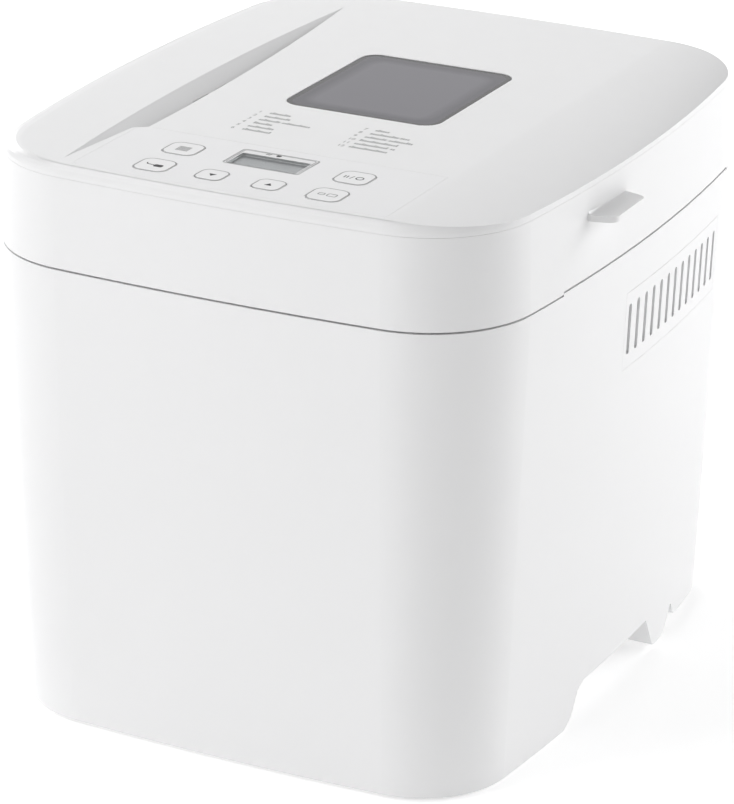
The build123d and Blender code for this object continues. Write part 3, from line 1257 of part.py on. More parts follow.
def motor_shaft():
    return rod(MOTOR_CENTRE, MOTOR_SHAFT_RADIUS, PULLEY_Z[0] - 2, MOTOR_Z[0] + 29)


def motor_bracket():
    """Saddle that holds the motor above the chassis plate."""
    x, y = MOTOR_CENTRE
    z0, z1 = CHASSIS_TOP_Z, MOTOR_Z[0]
    saddle = slab(MOTOR_CENTRE, (78, 44), 6, z1 - 2, z1)
    for side in (-1, 1):
        leg_x = x + side * 36
        saddle += block(leg_x - 1.5, leg_x + 1.5, y - 16, y + 16, z0, z1 - 1)
        saddle += block(leg_x - 1.5 - 5, leg_x + 1.5 + 5, y - 16, y + 16, z0, z0 + 2)
    return saddle - rod(MOTOR_CENTRE, 7.3, z1 - 5, z1 + 1)


def motor_screws():
    x, y = MOTOR_CENTRE
    return [rod((x + side * 17, y), 3.4, MOTOR_Z[0] - 4.4, MOTOR_Z[0] - 2) for side in (-1, 1)]


def motor_capacitor():
    body = rod(CAPACITOR_CENTRE, CAPACITOR_RADIUS, CHASSIS_TOP_Z, CHASSIS_TOP_Z + CAPACITOR_HEIGHT)
    return fillet(body.edges().group_by(Axis.Z)[-1], 2.0)


def power_board():
    board = slab(POWER_BOARD, POWER_BOARD_SIZE, 2, POWER_BOARD_Z, POWER_BOARD_Z + BOARD_THICKNESS)
    reach = grown(POWER_BOARD_SIZE, -POWER_POST_INSET)
    for x in (-0.5, 0.5):
        for y in (-0.5, 0.5):
            place = (POWER_BOARD[0] + x * reach[0], POWER_BOARD[1] + y * reach[1])
            board += rod(place, 3, CHASSIS_TOP_Z, POWER_BOARD_Z + 0.5)
    return board


def power_components():
    """Transformer, relay, connector and capacitors on the power board."""
    x, y = POWER_BOARD
    z = POWER_BOARD_Z + BOARD_THICKNESS
    parts = [block(x - 30, x - 2, y - 12, y + 12, z, z + 24)]
    parts.append(block(x + 4, x + 22, y - 14, y, z, z + 15))
    parts.append(block(x + 4, x + 28, y + 6, y + 15, z, z + 10))
    for i in range(2):
        parts.append(rod((x + 30, y - 12 + i * 11), 4.5, z, z + 16))
    return parts


# ---------------------------------------------------------------- assembly

def compound(solids):
    return Compound(children=list(solids))


def all_nodes():
    """Every node's name and shape."""
    nodes = {
        "body_casing": body_casing(), "vent_grille": vent_grille(), "base_tray": base_tray(),
        "body_screws": compound(base_screws() + motor_screws()), "top_deck": top_deck(),
        "cord_gland": cord_gland(), "lid_skirt": lid_skirt(), "lid_cover": lid_cover(),
        "control_film": control_film(), "display_lens": display_lens(), "display_glass": display_glass(),
        "display_holder": display_holder(), "control_board": control_board(),
        "key_switches": compound(key_switches()), "window_glass": window_glass(),
        "window_duct": window_duct(), "inner_glass": inner_glass(), "inner_glass_seal": inner_glass_seal(),
        "lid_liner": lid_liner(), "steam_duct": steam_duct(), "lid_screws": compound(lid_screws()),
        "baking_chamber": baking_chamber(), "heat_shield": heat_shield(),
        "heating_element": heating_element(), "heater_clips": compound(heater_clips()),
        "heater_bushings": compound(heater_bushings()), "temperature_probe": temperature_probe(),
        "thermal_fuse": thermal_fuse(), "bread_pan": bread_pan(), "pan_foot_ring": pan_foot_ring(),
        "pan_seat": pan_seat(), "pan_bush": pan_bush(), "pan_shaft_seal": pan_shaft_seal(),
        "pan_shaft": pan_shaft(), "wing_coupling": wing_coupling(), "kneading_paddle": kneading_paddle(),
        "bail_lugs": compound([bail_lug(-1), bail_lug(1)]), "bail_handle": bail_handle(),
        "chassis": chassis(), "bearing_housing": bearing_housing(), "drive_shaft": drive_shaft(),
        "drive_dog": drive_dog(), "big_pulley": big_pulley(), "motor_pulley": motor_pulley(),
        "drive_belt": drive_belt(), "motor": motor(), "motor_shaft": motor_shaft(),
        "motor_bracket": motor_bracket(), "motor_capacitor": motor_capacitor(), "power_board": power_board(),
        "power_components": compound(power_components()),
    }
    for name, centre, size, radius in key_places():
        nodes[name] = control_key(centre, size, radius)
    nodes["rubber_feet"] = compound([rubber_foot(place) for place in feet_places()])
    nodes["hinge_pins"] = compound([hinge_pin(y) for y in HINGE_ROWS])
    return nodes


os.makedirs("parts", exist_ok=True)
for node_name, shape in all_nodes().items():
    export_step(shape, "parts/" + node_name + ".step")
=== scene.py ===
"""Looks of a bread machine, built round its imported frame.

The frame's parts keep their shapes and places. This script gives each of them its finish, adds
the printed marks of the control panel, and sets up the studio.
"""
from __future__ import annotations

import logging
import math
from dataclasses import dataclass, field
from enum import Enum
from typing import Iterable, Protocol, Sequence

import bmesh
import bpy
from mathutils import Matrix, Vector


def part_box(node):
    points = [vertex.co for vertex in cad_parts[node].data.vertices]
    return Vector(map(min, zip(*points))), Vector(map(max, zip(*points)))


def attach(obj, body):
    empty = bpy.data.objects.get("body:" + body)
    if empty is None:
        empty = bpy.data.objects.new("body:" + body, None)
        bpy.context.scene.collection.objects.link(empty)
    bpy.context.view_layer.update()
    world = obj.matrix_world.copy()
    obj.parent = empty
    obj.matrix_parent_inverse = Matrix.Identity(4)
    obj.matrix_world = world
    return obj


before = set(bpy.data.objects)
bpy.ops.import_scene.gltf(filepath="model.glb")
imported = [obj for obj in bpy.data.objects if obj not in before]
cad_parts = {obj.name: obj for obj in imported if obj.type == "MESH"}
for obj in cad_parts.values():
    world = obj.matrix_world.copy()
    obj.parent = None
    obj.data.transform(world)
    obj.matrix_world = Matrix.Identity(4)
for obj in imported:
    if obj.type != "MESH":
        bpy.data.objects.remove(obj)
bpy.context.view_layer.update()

LOG = logging.getLogger("bread_machine")
MM = 0.001

Colour = tuple[float, float, float]
Point = tuple[float, float]
Outline = list[Point]
Socket = bpy.types.NodeSocket

WHITE: Colour = (0.80, 0.80, 0.805)
STEEL: Colour = (0.68, 0.68, 0.69)
LACQUER: Colour = (0.012, 0.09, 0.035)
TRACK: Colour = (0.05, 0.2, 0.07)
CLEAR_WHITE = (1.0, 1.0, 1.0, 1.0)
NOISE_RANGE = (0.3, 0.7)
PATCH_RANGE = (0.35, 0.65)


# ---------------------------------------------------------------- node trees

class Tree:
    """One material's node tree, built round a principled shader."""

    def __init__(self, name: str) -> None:
        """Starts an empty tree.

        Args:
            name: Name of the material.
        """
        self.material = bpy.data.materials.new(name)
        self.material.use_nodes = True
        self.shader = self.material.node_tree.nodes["Principled BSDF"]
        self.place = self.add("ShaderNodeTexCoord").outputs["Object"]

    def add(self, kind: str, **settings: object) -> bpy.types.Node:
        """Adds a node and sets its properties.

        Args:
            kind: Blender's name of the node type.
            settings: Properties of the node, by name.

        Returns:
            The new node.
        """
        node = self.material.node_tree.nodes.new(kind)
        for key, value in settings.items():
            setattr(node, key, value)
        return node

    def link(self, source: Socket, target: Socket) -> None:
        """Joins an output to an input.

        Args:
            source: The output.
            target: The input.
        """
        self.material.node_tree.links.new(source, target)

    def drive(self, name: str, source: Socket) -> None:
        """Lets a value or colour made by a node drive one of the shader's sockets.

        Args:
            name: Name of the shader's socket.
            source: Output that drives it.
        """
        self.link(source, self.shader.inputs[name])

    def set(self, **values: object) -> None:
        """Sets the shader's own sockets.

        Args:
            values: Values by socket name, with an underscore in place of a space.
        """
        for key, value in values.items():
            self.shader.inputs[key.replace("_", " ")].default_value = value

    def stretched(self, stretch: Sequence[float]) -> Socket:
        """Object coordinates scaled along each axis.

        Args:
            stretch: Factor for each axis.

        Returns:
            The scaled coordinates.
        """
        node = self.add("ShaderNodeMapping", vector_type="POINT")
        node.inputs["Scale"].default_value = stretch
        self.link(self.place, node.inputs["Vector"])
        return node.outputs["Vector"]

    def noise(self, size: float, detail: float = 2.0,
              stretch: Sequence[float] = (1.0, 1.0, 1.0)) -> Socket:
        """Soft random pattern.

        Args:
            size: Size of its lumps, in metres.
            detail: Number of finer layers.
            stretch: Factor on the pattern's frequency along each axis.

        Returns:
            The pattern's value, from 0 to 1.
        """
        node = self.add("ShaderNodeTexNoise")
        node.inputs["Scale"].default_value = 1.0 / size
        node.inputs["Detail"].default_value = detail
        self.link(self.stretched(stretch), node.inputs["Vector"])
        return node.outputs["Fac"]

    def cells(self, size: float, feature: str = "F1") -> Socket:
        """Cell pattern: distance from the nearest random point.

        Args:
            size: Size of the cells, in metres.
            feature: Blender's name of the distance that is measured.

        Returns:
            The distance, in cells.
        """
        node = self.add("ShaderNodeTexVoronoi", feature=feature)
        node.inputs["Scale"].default_value = 1.0 / size
        self.link(self.place, node.inputs["Vector"])
        return node.outputs["Distance"]

    def ramp(self, source: Socket, low: float, high: float, first: float = 0.0,
             last: float = 1.0) -> Socket:
        """Maps one range of values onto another, held at its ends.

        Args:
            source: Value to map.
            low: Value that becomes first.
            high: Value that becomes last.
            first: Result at low.
            last: Result at high.

        Returns:
            The mapped value.
        """
        node = self.add("ShaderNodeMapRange")
        limits = {"From Min": low, "From Max": high, "To Min": first, "To Max": last}
        for key, value in limits.items():
            node.inputs[key].default_value = value
        self.link(source, node.inputs["Value"])
        return node.outputs["Result"]

    def roughen(self, pattern: Socket, first: float, last: float) -> None:
        """Varies the shader's roughness with a pattern.

        Args:
            pattern: The pattern's value.
            first: Roughness in its low places.
            last: Roughness in its high places.
        """
        self.drive("Roughness", self.ramp(pattern, *NOISE_RANGE, first, last))

    def mixed(self, share: Socket, a: Colour, b: Colour | Socket) -> Socket:
        """Blends two colours.

        Args:
            share: Share of the second colour, from 0 to 1.
            a: First colour.
            b: Second colour, constant or made by another node.

        Returns:
            The blended colour.
        """
        node = self.add("ShaderNodeMix", data_type="RGBA")
        colours = [socket for socket in node.inputs if socket.type == "RGBA"]
        colours[0].default_value = (*a, 1.0)
        if isinstance(b, Socket):
            self.link(b, colours[1])
        else:
            colours[1].default_value = (*b, 1.0)
        self.link(share, node.inputs["Factor"])
        return [socket for socket in node.outputs if socket.type == "RGBA"][0]

    def colour(self, share: Socket, a: Colour, b: Colour | Socket) -> None:
        """Gives the shader a blend of two colours.

        Args:
            share: Share of the second colour, from 0 to 1.
            a: First colour.
            b: Second colour, constant or made by another node.
        """
        self.drive("Base Color", self.mixed(share, a, b))

    def calc(self, operation: str, a: Socket | float, b: Socket | float = 0.0) -> Socket:
        """One step of arithmetic.

        Args:
            operation: Blender's name of the operation.
            a: First value.
            b: Second value.

        Returns:
            The result.
        """
        node = self.add("ShaderNodeMath", operation=operation)
        for i, value in enumerate((a, b)):
            if isinstance(value, (int, float)):
                node.inputs[i].default_value = value
            else:
                self.link(value, node.inputs[i])
        return node.outputs["Value"]

    def bump(self, height: Socket, depth: float) -> None:
        """Gives the shader a relief.

        Args:
            height: Pattern of the relief, from 0 to 1.
            depth: Its depth, in metres.
        """
        node = self.add("ShaderNodeBump")
        node.inputs["Distance"].default_value = depth
        self.link(height, node.inputs["Height"])
        self.drive("Normal", node.outputs["Normal"])

    def see_through(self, cover: Socket, tint: Colour) -> None:
        """Lets what lies behind show through the shader.

        Args:
            cover: Share of the shader, from 0 to 1.
            tint: Colour that the light takes on the way through.
        """
        through = self.add("ShaderNodeBsdfTransparent")
        through.inputs["Color"].default_value = (*tint, 1.0)
        mix = self.add("ShaderNodeMixShader")
        self.link(cover, mix.inputs["Fac"])
        self.link(through.outputs["BSDF"], mix.inputs[1])
        self.link(self.shader.outputs["BSDF"], mix.inputs[2])
        output = self.material.node_tree.nodes["Material Output"]
        self.link(mix.outputs["Shader"], output.inputs["Surface"])

    def inside(self, centre: Sequence[float], half: Sequence[float], radius: float,
               soft: float) -> Socket:
        """Mask of a rounded rectangle seen from above.

        Args:
            centre: Its middle.
            half: Half its width and depth.
            radius: Radius of its corners.
            soft: Width of the mask's edge.

        Returns:
            1 inside the rectangle and 0 outside.
        """
        split = self.add("ShaderNodeSeparateXYZ")
        self.link(self.place, split.inputs["Vector"])
        overs = []
        for axis in range(2):
            off = self.calc("ABSOLUTE", self.calc("SUBTRACT", split.outputs[axis], centre[axis]))
            over = self.calc("MAXIMUM", self.calc("SUBTRACT", off, half[axis] - radius), 0.0)
            overs.append(self.calc("POWER", over, 2.0))
        beyond = self.calc("SQRT", self.calc("ADD", *overs))
        return self.ramp(beyond, radius - soft, radius + soft, 1.0, 0.0)


# ---------------------------------------------------------------- finishes

class Finish(Protocol):
    """Anything that can build a material."""

    def material(self) -> bpy.types.Material:
        """Builds the finish."""


def scaled(colour: Colour, factor: float) -> Colour:
    """Makes a colour darker or paler.

    Args:
        colour: The colour.
        factor: Factor on each channel.

    Returns:
        The new colour, each channel at most 1.
    """
    return tuple(min(1.0, c * factor) for c in colour)


@dataclass(frozen=True)
class MouldedPlastic:
    """Injection-moulded plastic: a faint flow in its colour, an even gloss and a fine skin."""

    name: str
    colour: Colour
    roughness: float = 0.3
    flow: float = 0.012
    skin_size: float = 0.5 * MM
    skin_depth: float = 0.004 * MM
    specular: float = 0.5
    flow_size: float = 60 * MM
    gloss_size: float = 9 * MM

    def material(self) -> bpy.types.Material:
        """Builds the finish.

        Returns:
            Its material.
        """
        tree = Tree(self.name)
        tree.colour(tree.noise(self.flow_size, 3.0), scaled(self.colour, 1.0 - self.flow), self.colour)
        tree.roughen(tree.noise(self.gloss_size, 4.0), self.roughness * 0.92, self.roughness * 1.08)
        tree.bump(tree.noise(self.skin_size, 2.0), self.skin_depth)
        tree.set(Specular_IOR_Level=self.specular)
        return tree.material


class Grain(Enum):
    """Direction in which a sheet was rolled or a rod ground."""

    ALONG_X = (0.04, 1.0, 1.0)
    ALONG_Y = (1.0, 0.04, 1.0)
    ALONG_Z = (1.0, 1.0, 0.04)
    EVEN = (1.0, 1.0, 1.0)


@dataclass(frozen=True)
class RolledSheet:
    """Sheet metal with rolling streaks, faint stains and a drawn sheen."""

    name: str
    colour: Colour
    grain: Grain = Grain.ALONG_X
    roughness: float = 0.3
    streak: float = 0.7 * MM
    depth: float = 0.01 * MM
    stain: float = 0.12
    stain_size: float = 35 * MM

    def material(self) -> bpy.types.Material:
        """Builds the finish.

        Returns:
            Its material.
        """
        tree = Tree(self.name)
        streaks = tree.noise(self.streak, 4.0, self.grain.value)
        stains = tree.noise(self.stain_size, 4.0)
        share = tree.calc("MULTIPLY", tree.calc("ADD", streaks, stains), 0.5)
        clean = tree.ramp(share, *PATCH_RANGE)
        tree.colour(clean, scaled(self.colour, 1.0 - self.stain), self.colour)
        rough = tree.ramp(share, *PATCH_RANGE, self.roughness * 1.25, self.roughness * 0.8)
        tree.drive("Roughness", rough)
        tree.bump(streaks, self.depth)
        tree.set(Metallic=1.0)
        return tree.material


@dataclass(frozen=True)
class CastMetal:
    """Die-cast or sintered metal with a fine sandy skin and darker hollows."""

    name: str
    colour: Colour
    roughness: float = 0.42
    skin: float = 0.6 * MM
    depth: float = 0.03 * MM
    hollow: float = 0.78
    patch_size: float = 12 * MM

    def material(self) -> bpy.types.Material:
        """Builds the finish.

        Returns:
            Its material.
        """
        tree = Tree(self.name)
        skin = tree.noise(self.skin, 5.0)
        patches = tree.ramp(tree.noise(self.patch_size, 3.0), *PATCH_RANGE)
        tree.colour(patches, scaled(self.colour, self.hollow), self.colour)
        tree.roughen(skin, self.roughness * 1.2, self.roughness * 0.85)
        tree.bump(skin, self.depth)
        tree.set(Metallic=1.0)
        return tree.material


@dataclass(frozen=True)
class NonStickCoating:
    """Sprayed non-stick coating: dark, softly shining, with pale flecks and orange-peel relief."""

    name: str
    colour: Colour
    fleck: Colour = (0.16, 0.16, 0.165)
    roughness: float = 0.4
    fleck_size: float = 1.1 * MM
    sparse_size: float = 1.7 * MM
    peel_size: float = 0.9 * MM
    peel_depth: float = 0.02 * MM

    def material(self) -> bpy.types.Material:
        """Builds the finish.

        Returns:
            Its material.
        """
        tree = Tree(self.name)
        flecks = tree.ramp(tree.cells(self.fleck_size), 0.1, 0.22, 1.0, 0.0)
        sparse = tree.ramp(tree.noise(self.sparse_size, 1.0), 0.55, 0.62, 0.0, 0.8)
        share = tree.calc("MULTIPLY", flecks, sparse)
        tree.colour(share, self.colour, self.fleck)
        peel = tree.noise(self.peel_size, 2.0)
        tree.roughen(peel, self.roughness * 0.85, self.roughness * 1.2)
        tree.bump(peel, self.peel_depth)
        tree.set(Metallic=0.35, Specular_IOR_Level=0.6)
        return tree.material


@dataclass(frozen=True)
class Rubber:
    """Moulded rubber or silicone: dull, with a dusty bloom and a fine skin."""

    name: str
    colour: Colour
    bloom: float = 0.35
    roughness: float = 0.75
    dust_size: float = 7 * MM
    skin_size: float = 0.35 * MM
    skin_depth: float = 0.02 * MM

    def material(self) -> bpy.types.Material:
        """Builds the finish.

        Returns:
            Its material.
        """
        tree = Tree(self.name)
        dust = tree.noise(self.dust_size, 5.0)
        paler = tuple(c * (1.0 + self.bloom) + 0.01 for c in self.colour)
        tree.colour(tree.ramp(dust, 0.35, 0.7), self.colour, paler)
        tree.roughen(dust, self.roughness * 0.9, min(1.0, self.roughness * 1.15))
        tree.bump(tree.noise(self.skin_size, 3.0), self.skin_depth)
        tree.set(Specular_IOR_Level=0.35)
        return tree.material


@dataclass(frozen=True)
class HeatedSheath:
    """Steel sheath that heat has turned brown and blue-grey in bands."""

    name: str
    colour: Colour
    tempered: Colour
    band_size: float = 16 * MM
    scale_size: float = 0.8 * MM
    scale_depth: float = 0.015 * MM

    def material(self) -> bpy.types.Material:
        """Builds the finish.

        Returns:
            Its material.
        """
        tree = Tree(self.name)
        bands = tree.noise(self.band_size, 4.0)
        tree.colour(tree.ramp(bands, 0.35, 0.62), self.colour, self.tempered)
        scale = tree.noise(self.scale_size, 4.0)
        tree.roughen(scale, 0.35, 0.55)
        tree.bump(scale, self.scale_depth)
        tree.set(Metallic=0.9)
        return tree.material


@dataclass(frozen=True)
class GlazedCeramic:
    """Pressed ceramic with a thin glaze, fine pits and warm specks."""

    name: str
    colour: Colour
    speck_size: float = 0.7 * MM
    pit_size: float = 0.5 * MM
    pit_depth: float = 0.02 * MM

    def material(self) -> bpy.types.Material:
        """Builds the finish.

        Returns:
            Its material.
        """
        tree = Tree(self.name)
        specks = tree.ramp(tree.noise(self.speck_size, 2.0), 0.62, 0.72, 0.0, 0.5)
        tree.colour(specks, self.colour, scaled(self.colour, 0.6))
        pits = tree.noise(self.pit_size, 3.0)
        tree.roughen(pits, 0.22, 0.4)
        tree.bump(pits, self.pit_depth)
        return tree.material


@dataclass(frozen=True)
class CircuitLaminate:
    """Green lacquered circuit laminate with copper tracks and a glass weave beneath."""

    name: str
    lacquer: Colour
    track: Colour
    pitch: float = 2.6 * MM
    weave_size: float = 0.4 * MM
    relief: float = 0.03 * MM

    def material(self) -> bpy.types.Material:
        """Builds the finish.

        Returns:
            Its material.
        """
        tree = Tree(self.name)
        bricks = tree.add("ShaderNodeTexBrick", offset=0.37, squash=0.6, squash_frequency=3)
        layout = {"Scale": 1.0 / self.pitch, "Mortar Size": 0.09, "Brick Width": 3.1,
                  "Row Height": 0.8}
        for key, value in layout.items():
            bricks.inputs[key].default_value = value
        tree.link(tree.place, bricks.inputs["Vector"])
        track = tree.ramp(bricks.outputs["Fac"], 0.4, 0.6)
        tree.colour(track, self.lacquer, self.track)
        weave = tree.noise(self.weave_size, 2.0)
        tree.roughen(weave, 0.25, 0.38)
        tree.bump(tree.calc("ADD", tree.calc("MULTIPLY", weave, 0.3), track), self.relief)
        return tree.material


@dataclass(frozen=True)
class Ink:
    """Screen-printed ink: slightly uneven cover and a dry surface."""

    name: str
    colour: Colour
    cover: float = 0.12
    roughness: float = 0.55
    grain_size: float = 0.8 * MM

    def material(self) -> bpy.types.Material:
        """Builds the finish.

        Returns:
            Its material.
        """
        tree = Tree(self.name)
        thin = tree.noise(self.grain_size, 3.0)
        tree.colour(thin, self.colour, scaled(self.colour, 1.0 + self.cover))
        tree.roughen(thin, self.roughness * 0.9, self.roughness * 1.1)
        return tree.material


@dataclass(frozen=True)
class LiquidCrystal:
    """Unlit liquid-crystal panel: warm grey with a faint cell grid and a soft uneven depth."""

    name: str
    colour: Colour
    pale: Colour
    cloud_size: float = 14 * MM
    cell_size: float = 0.6 * MM

    def material(self) -> bpy.types.Material:
        """Builds the finish.

        Returns:
            Its material.
        """
        tree = Tree(self.name)
        cloud = tree.noise(self.cloud_size, 2.0)
        tree.colour(tree.ramp(cloud, *PATCH_RANGE), self.colour, self.pale)
        tree.roughen(tree.noise(self.cell_size, 1.0), 0.3, 0.42)
        return tree.material


@dataclass(frozen=True)
class ClearPane:
    """Clear pane: what is behind it shows, under a faint tint and a sharp reflection."""

    name: str
    tint: Colour = (0.97, 0.98, 0.98)
    square_on: float = 0.03
    grazing: float = 0.4
    roughness: float = 0.03
    haze_size: float = 25 * MM

    def material(self) -> bpy.types.Material:
        """Builds the finish.

        Returns:
            Its material.
        """
        tree = Tree(self.name)
        tree.roughen(tree.noise(self.haze_size, 3.0), self.roughness, self.roughness * 2.0)
        tree.set(Base_Color=(*self.tint, 1.0), Metallic=1.0)
        slant = tree.add("ShaderNodeLayerWeight").outputs["Facing"]
        steep = tree.calc("POWER", slant, 4.0)
        tree.see_through(tree.ramp(steep, 0.0, 1.0, self.square_on, self.grazing), self.tint)
        return tree.material


@dataclass(frozen=True)
class TintedPane:
    """Smoked pane with a printed border: nearly solid at the border and half clear inside it. Inside
    the border its grey is partly the smoke's tint and partly painted reflection, and its paler rounded
    middle is a painted reflection.
    """

    name: str
    centre: Point
    half: Point
    radius: float
    border: float
    frame_colour: Colour
    glass_colour: Colour
    core_colour: Colour
    tint: Colour
    cover: float = 0.85
    specular: float = 0.1
    edge_blur: float = 0.25 * MM
    core_inset: float = 6 * MM
    core_radius: float = 8 * MM
    core_blur: float = 3 * MM
    roughness: float = 0.06
    smear_size: float = 30 * MM

    def material(self) -> bpy.types.Material:
        """Builds the finish.

        Returns:
            Its material.
        """
        tree = Tree(self.name)
        inner = [side - self.border for side in self.half]
        window = tree.inside(self.centre, inner, self.radius - self.border, self.edge_blur)
        # Paler rounded middle of the pane: a painted reflection, blended into the grey inside the
        # border.
        deeper = [side - self.core_inset for side in inner]
        core = tree.inside(self.centre, deeper, self.core_radius, self.core_blur)
        # Grey inside the border: partly the smoke's tint and partly painted reflection.
        glass = tree.mixed(core, self.glass_colour, self.core_colour)
        tree.colour(window, self.frame_colour, glass)
        tree.set(Specular_IOR_Level=self.specular)
        tree.roughen(tree.noise(self.smear_size, 3.0), self.roughness * 0.8, self.roughness * 1.3)
        tree.see_through(tree.ramp(window, 0.0, 1.0, 1.0, self.cover), self.tint)
        return tree.material


# ---------------------------------------------------------------- shapes

def dress(nodes: Iterable[str], finish: Finish) -> None:
    """Gives frame parts a finish.

    Args:
        nodes: Names of the parts.
        finish: Their finish.
    """
    material = finish.material()
    for name in nodes:
        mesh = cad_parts[name].data
        mesh.materials.clear()
        mesh.materials.append(material)
        LOG.info("finished %s in %s", name, material.name)


def middle(node: str) -> Point:
    """Middle of a frame part's box, seen from above.

    Args:
        node: Name of the part.

    Returns:
        Its x and y.
    """
    low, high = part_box(node)
    return (low.x + high.x) / 2, (low.y + high.y) / 2


def spread(node: str) -> Point:
    """Width and depth of a frame part's box.

    Args:
        node: Name of the part.

    Returns:
        Its size along x and y.
    """
    low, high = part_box(node)
    return high.x - low.x, high.y - low.y


def top_of(node: str) -> float:
    """Height of a frame part's top."""
    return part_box(node)[1].z


def show(name: str, data: bpy.types.ID) -> bpy.types.Object:
    """Makes an object from its data and puts it in the scene.

    Args:
        name: Name of the object.
        data: Its mesh, curve, light or camera.

    Returns:
        The object.
    """
    piece = bpy.data.objects.new(name, data)
    bpy.context.scene.collection.objects.link(piece)
    return piece


def rounded(centre: Point, size: Point, radius: float, steps: int = 6) -> Outline:
    """Outline of a rounded rectangle.

    Args:
        centre: Its middle.
        size: Its width and depth.
        radius: Radius of its corners.
        steps: Number of edges in each corner.

    Returns:
        Its points, anticlockwise.
    """
    points = []
    for quarter, (sx, sy) in enumerate(((1, 1), (-1, 1), (-1, -1), (1, -1))):
        cx = centre[0] + sx * (size[0] / 2 - radius)
        cy = centre[1] + sy * (size[1] / 2 - radius)
        for i in range(steps + 1):
            angle = math.radians(90 * (quarter + i / steps))
            points.append((cx + radius * math.cos(angle), cy + radius * math.sin(angle)))
    return points


def circle(centre: Point, radius: float, steps: int = 32) -> Outline:
    """Points of a circle, anticlockwise.

    Args:
        centre: Its middle.
        radius: Its radius.
        steps: Number of its points.

    Returns:
        The points.
    """
    angles = [math.tau * i / steps for i in range(steps)]
    return [(centre[0] + radius * math.cos(a), centre[1] + radius * math.sin(a)) for a in angles]


def bar(start: Point, end: Point, width: float) -> Outline:
    """Outline of a straight stroke between two points.

    Args:
        start: One end of its middle line.
        end: The other end.
        width: Width of the stroke.

    Returns:
        Its four corners, anticlockwise.
    """
    along = Vector((end[0] - start[0], end[1] - start[1])).normalized()
    side = Vector((-along.y, along.x)) * width / 2
    a, b = Vector(start), Vector(end)
    return [tuple(p) for p in (a - side, b - side, b + side, a + side)]


class FlatWork:
    """Thin flat shapes at one height, gathered into a single mesh."""

    def __init__(self, name: str, z: float, thickness: float,
                 origin: Point = (0.0, 0.0)) -> None:
        """Starts an empty mesh.

        Args:
            name: Name of the piece.
            z: Height of its top.
            thickness: How far it reaches down.
            origin: Where its outlines are measured from.
        """
        self.name = name
        self.heights = (z, z - thickness)
        self.origin = origin
        self.mesh = bmesh.new()

    def rows(self, outline: Outline) -> list[list[bmesh.types.BMVert]]:
        """Adds an outline's points at the top and at the bottom.

        Args:
            outline: The outline.

        Returns:
            The upper row and the lower row.
        """
        x0, y0 = self.origin
        return [[self.mesh.verts.new((x0 + x, y0 + y, z)) for x, y in outline]
                for z in self.heights]

    def fill(self, outline: Outline) -> None:
        """Adds a solid flat shape.

        Args:
            outline: Its outline.
        """
        tops, lows = self.rows(outline)
        self.mesh.faces.new(tops)
        self.mesh.faces.new(list(reversed(lows)))
        self.walls(tops, lows)

    def walls(self, tops: list[bmesh.types.BMVert], lows: list[bmesh.types.BMVert]) -> None:
        """Adds the faces between two closed rows of points.

        Args:
            tops: The upper row.
            lows: The lower row, with as many points.
        """
        for i in range(len(tops)):
            j = (i + 1) % len(tops)
            self.mesh.faces.new((tops[i], lows[i], lows[j], tops[j]))

    def ring(self, outer: Outline, inner: Outline) -> None:
        """Adds a band between two outlines.

        Args:
            outer: The outer outline.
            inner: The inner outline, with as many points.
        """
        outer_top, outer_low = self.rows(outer)
        inner_top, inner_low = self.rows(inner)
        self.walls(outer_top, outer_low)
        self.walls(inner_low, inner_top)
        self.walls(inner_top, outer_top)
        self.walls(outer_low, inner_low)

    def finish(self, body: str, material: bpy.types.Material, slot: str) -> None:
        """Makes the object.

        Args:
            body: Body that it rides on.
            material: Its material.
            slot: Not used.
        """
        bmesh.ops.recalc_face_normals(self.mesh, faces=self.mesh.faces)
        data = bpy.data.meshes.new(self.name)
        self.mesh.to_mesh(data)
        self.mesh.free()
        data.materials.append(material)
        piece = show(self.name, data)
        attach(piece, body)
        LOG.info("made %s on %s", self.name, body)


# ---------------------------------------------------------------- body

@dataclass
class Casing:
    """Outer casing, its vent, base, deck, feet and fastenings."""

    shell: MouldedPlastic = MouldedPlastic("casing_plastic", WHITE, 0.3)
    inner: MouldedPlastic = MouldedPlastic("deck_plastic", (0.77, 0.77, 0.775), 0.42,
                                           skin_depth=0.012 * MM)
    foot: Rubber = Rubber("foot_rubber", (0.12, 0.12, 0.125))
    gland: MouldedPlastic = MouldedPlastic("gland_nylon", (0.05, 0.05, 0.055), 0.45, flow=0.15)
    screw: RolledSheet = RolledSheet("screw_steel", (0.62, 0.62, 0.63), Grain.EVEN, 0.34)

    def dress(self) -> None:
        """Gives each part its finish."""
        dress(["body_casing", "vent_grille"], self.shell)
        dress(["top_deck", "base_tray"], self.inner)
        dress(["rubber_feet"], self.foot)
        dress(["cord_gland"], self.gland)
        dress(["body_screws", "hinge_pins"], self.screw)


# ---------------------------------------------------------------- lid

